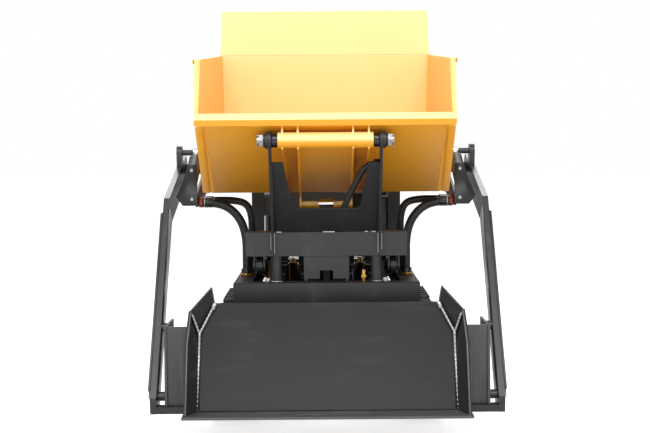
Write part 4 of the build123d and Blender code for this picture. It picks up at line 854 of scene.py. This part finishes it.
# %% Bolts in place
WING_BOLTS = ((-0.735, 0.122), (-0.612, 0.326))
RAIL_BOLTS = (-0.30, 0.08, 0.40)
DECK_BOLTS = ((0.285, 0.452), (0.285, 0.745), (0.16, 0.745), (0.16, 0.452))
GANTRY_BOLTS = (0.60, 0.74)
CONSOLE_BOLTS = (0.53, 0.68, 0.90)
bolt_16 = model_bolt(0.016, zinc_steel)
bolt_12 = model_bolt(0.012, zinc_steel)
for word, side in SIDES:
    for number, (y, z) in enumerate(WING_BOLTS):
        fasten(bolt_16, f"wing_bolt_{word}_{number}", (side * 0.5645, y, z), (side, 0, 0), "loader")
    for number, y in enumerate(RAIL_BOLTS):
        fasten(bolt_12, f"rail_bolt_{word}_{number}", (side * 0.310, y, 0.425), (side, 0, 0), "chassis")
    for number, (x, y) in enumerate(DECK_BOLTS):
        fasten(bolt_12, f"deck_bolt_{word}_{number}", (side * x, y, 0.4733), (0, 0, 1), "chassis")
    for number, z in enumerate(GANTRY_BOLTS):
        fasten(bolt_12, f"gantry_bolt_{word}_{number}", (side * 0.280, 0.482, z), (0, 1, 0), "chassis")
    for number, z in enumerate(CONSOLE_BOLTS):
        fasten(bolt_12, f"console_bolt_{word}_{number}", (side * 0.128, 0.756, z), (0, 1, 0), "chassis")
for model in (bolt_16, bolt_12):
    bpy.data.objects.remove(model)

# %% [markdown]
# Under the deck's front edge hangs a plate that closes the view between the rails. A box
# would do as the primitive alone, but its edges have to be rounded as all sheet is.

# %% Deck skirt
def block(name, low, high, body, finish, rounding=0.001):
    """A bar with its lowest and highest corner, its edges rounded."""
    alone()
    bpy.ops.mesh.primitive_cube_add(size=1, location=[(a + b) / 2 for a, b in zip(low, high)],
                                    scale=[b - a for a, b in zip(low, high)])
    settle(name, body, finish, rounding)


block("deck_skirt", (-0.25, 0.4305, 0.305), (0.25, 0.4365, 0.386), "chassis", charcoal_coat)
print("deck skirt 0.5 m wide")

# %% [markdown]
# The photograph has a white background. A sheet of white paper under the machine would do
# that in a studio, but it throws light up at the underside, which is dark in the photograph.
# So the floor glows white for the camera and only faintly for mirrors, and the world lights
# the machine less than it shows: both ask what kind of ray is looking at them.

# %% Floor and world
def eye_rays(tree):
    """1 for rays from the camera, from a mirror or through glass, 0 for light that spreads."""
    rays = tree.nodes.new("ShaderNodeLightPath")
    seen = rays.outputs["Is Camera Ray"]
    for kind in ("Is Glossy Ray", "Is Transmission Ray"):
        either = tree.nodes.new("ShaderNodeMath")
        either.operation = "MAXIMUM"
        tree.links.new(seen, either.inputs[0])
        tree.links.new(rays.outputs[kind], either.inputs[1])
        seen = either.outputs[0]
    return seen


def lay_floor(camera_glow, mirror_glow):
    alone()
    bpy.ops.mesh.primitive_plane_add(size=60, location=(0, 0, 0))
    floor = bpy.context.object
    floor.name = "studio_floor"
    pale = Finish("studio_white", Specular_IOR_Level=0.0, Roughness=1.0, Emission_Strength=1.0)
    seen = (pale.node("ShaderNodeLightPath", out="Is Camera Ray")
            + pale.node("ShaderNodeLightPath", out="Is Transmission Ray"))
    level = seen * camera_glow + pale.node("ShaderNodeLightPath", out="Is Glossy Ray") * mirror_glow
    glow = pale.node("ShaderNodeCombineColor", inputs={"Red": level, "Green": level, "Blue": level})
    floor.data.materials.append(pale.out(Base_Color=(0.80, 0.80, 0.80, 1), Emission_Color=glow))


def light_world(spread_light):
    world = bpy.data.worlds.new("studio")
    world.use_nodes = True
    background = world.node_tree.nodes["Background"]
    background.inputs["Color"].default_value = (1, 1, 1, 1)
    level = world.node_tree.nodes.new("ShaderNodeMapRange")
    level.inputs["To Min"].default_value = spread_light
    level.inputs["To Max"].default_value = 1.0
    world.node_tree.links.new(eye_rays(world.node_tree), level.inputs["Value"])
    world.node_tree.links.new(level.outputs[0], background.inputs["Strength"])
    bpy.context.scene.world = world


lay_floor(camera_glow=0.74, mirror_glow=0.15)
light_world(spread_light=0.50)
print("floor and world are white to the camera")

# %% [markdown]
# The light of the photograph is soft and comes from a wide lamp above and in front of the
# machine, with strips at its sides. A few hard lamps are quicker to render, but their shadows
# have edges that the photograph's don't, so every lamp here is a broad rectangle.

# %% Lamps
def soft_light(name, place, target, width, height, power):
    lamp = bpy.data.lights.new(name, "AREA")
    lamp.shape = "RECTANGLE"
    lamp.size = width
    lamp.size_y = height
    lamp.energy = power
    holder = bpy.data.objects.new(name, lamp)
    bpy.context.scene.collection.objects.link(holder)
    holder.location = place
    holder.rotation_euler = (Vector(target) - Vector(place)).to_track_quat("-Z", "Y").to_euler()


soft_light("wide_softbox", (0, -4.2, 4.0), (0, 0, 1.0), 4.0, 2.4, 165)
soft_light("floor_card", (0, -3.0, 0.12), (0, -0.5, 0.90), 2.6, 0.9, 17)
soft_light("left_strip", (-3.4, -1.4, 2.2), (0, 0, 0.7), 0.9, 3.0, 45)
soft_light("right_strip", (3.4, -1.4, 2.2), (0, 0, 0.7), 0.9, 3.0, 35)
soft_light("rear_softbox", (0, 3.6, 3.4), (0, 0, 0.8), 3.0, 2.0, 70)
bpy.context.scene.view_settings.view_transform = "Standard"
print("lit with", len(bpy.data.lights), "lamps")

# %% [markdown]
# Trim that sticks out changes how much room the machine needs.

# %% End of the scene
print("scene is dressed")
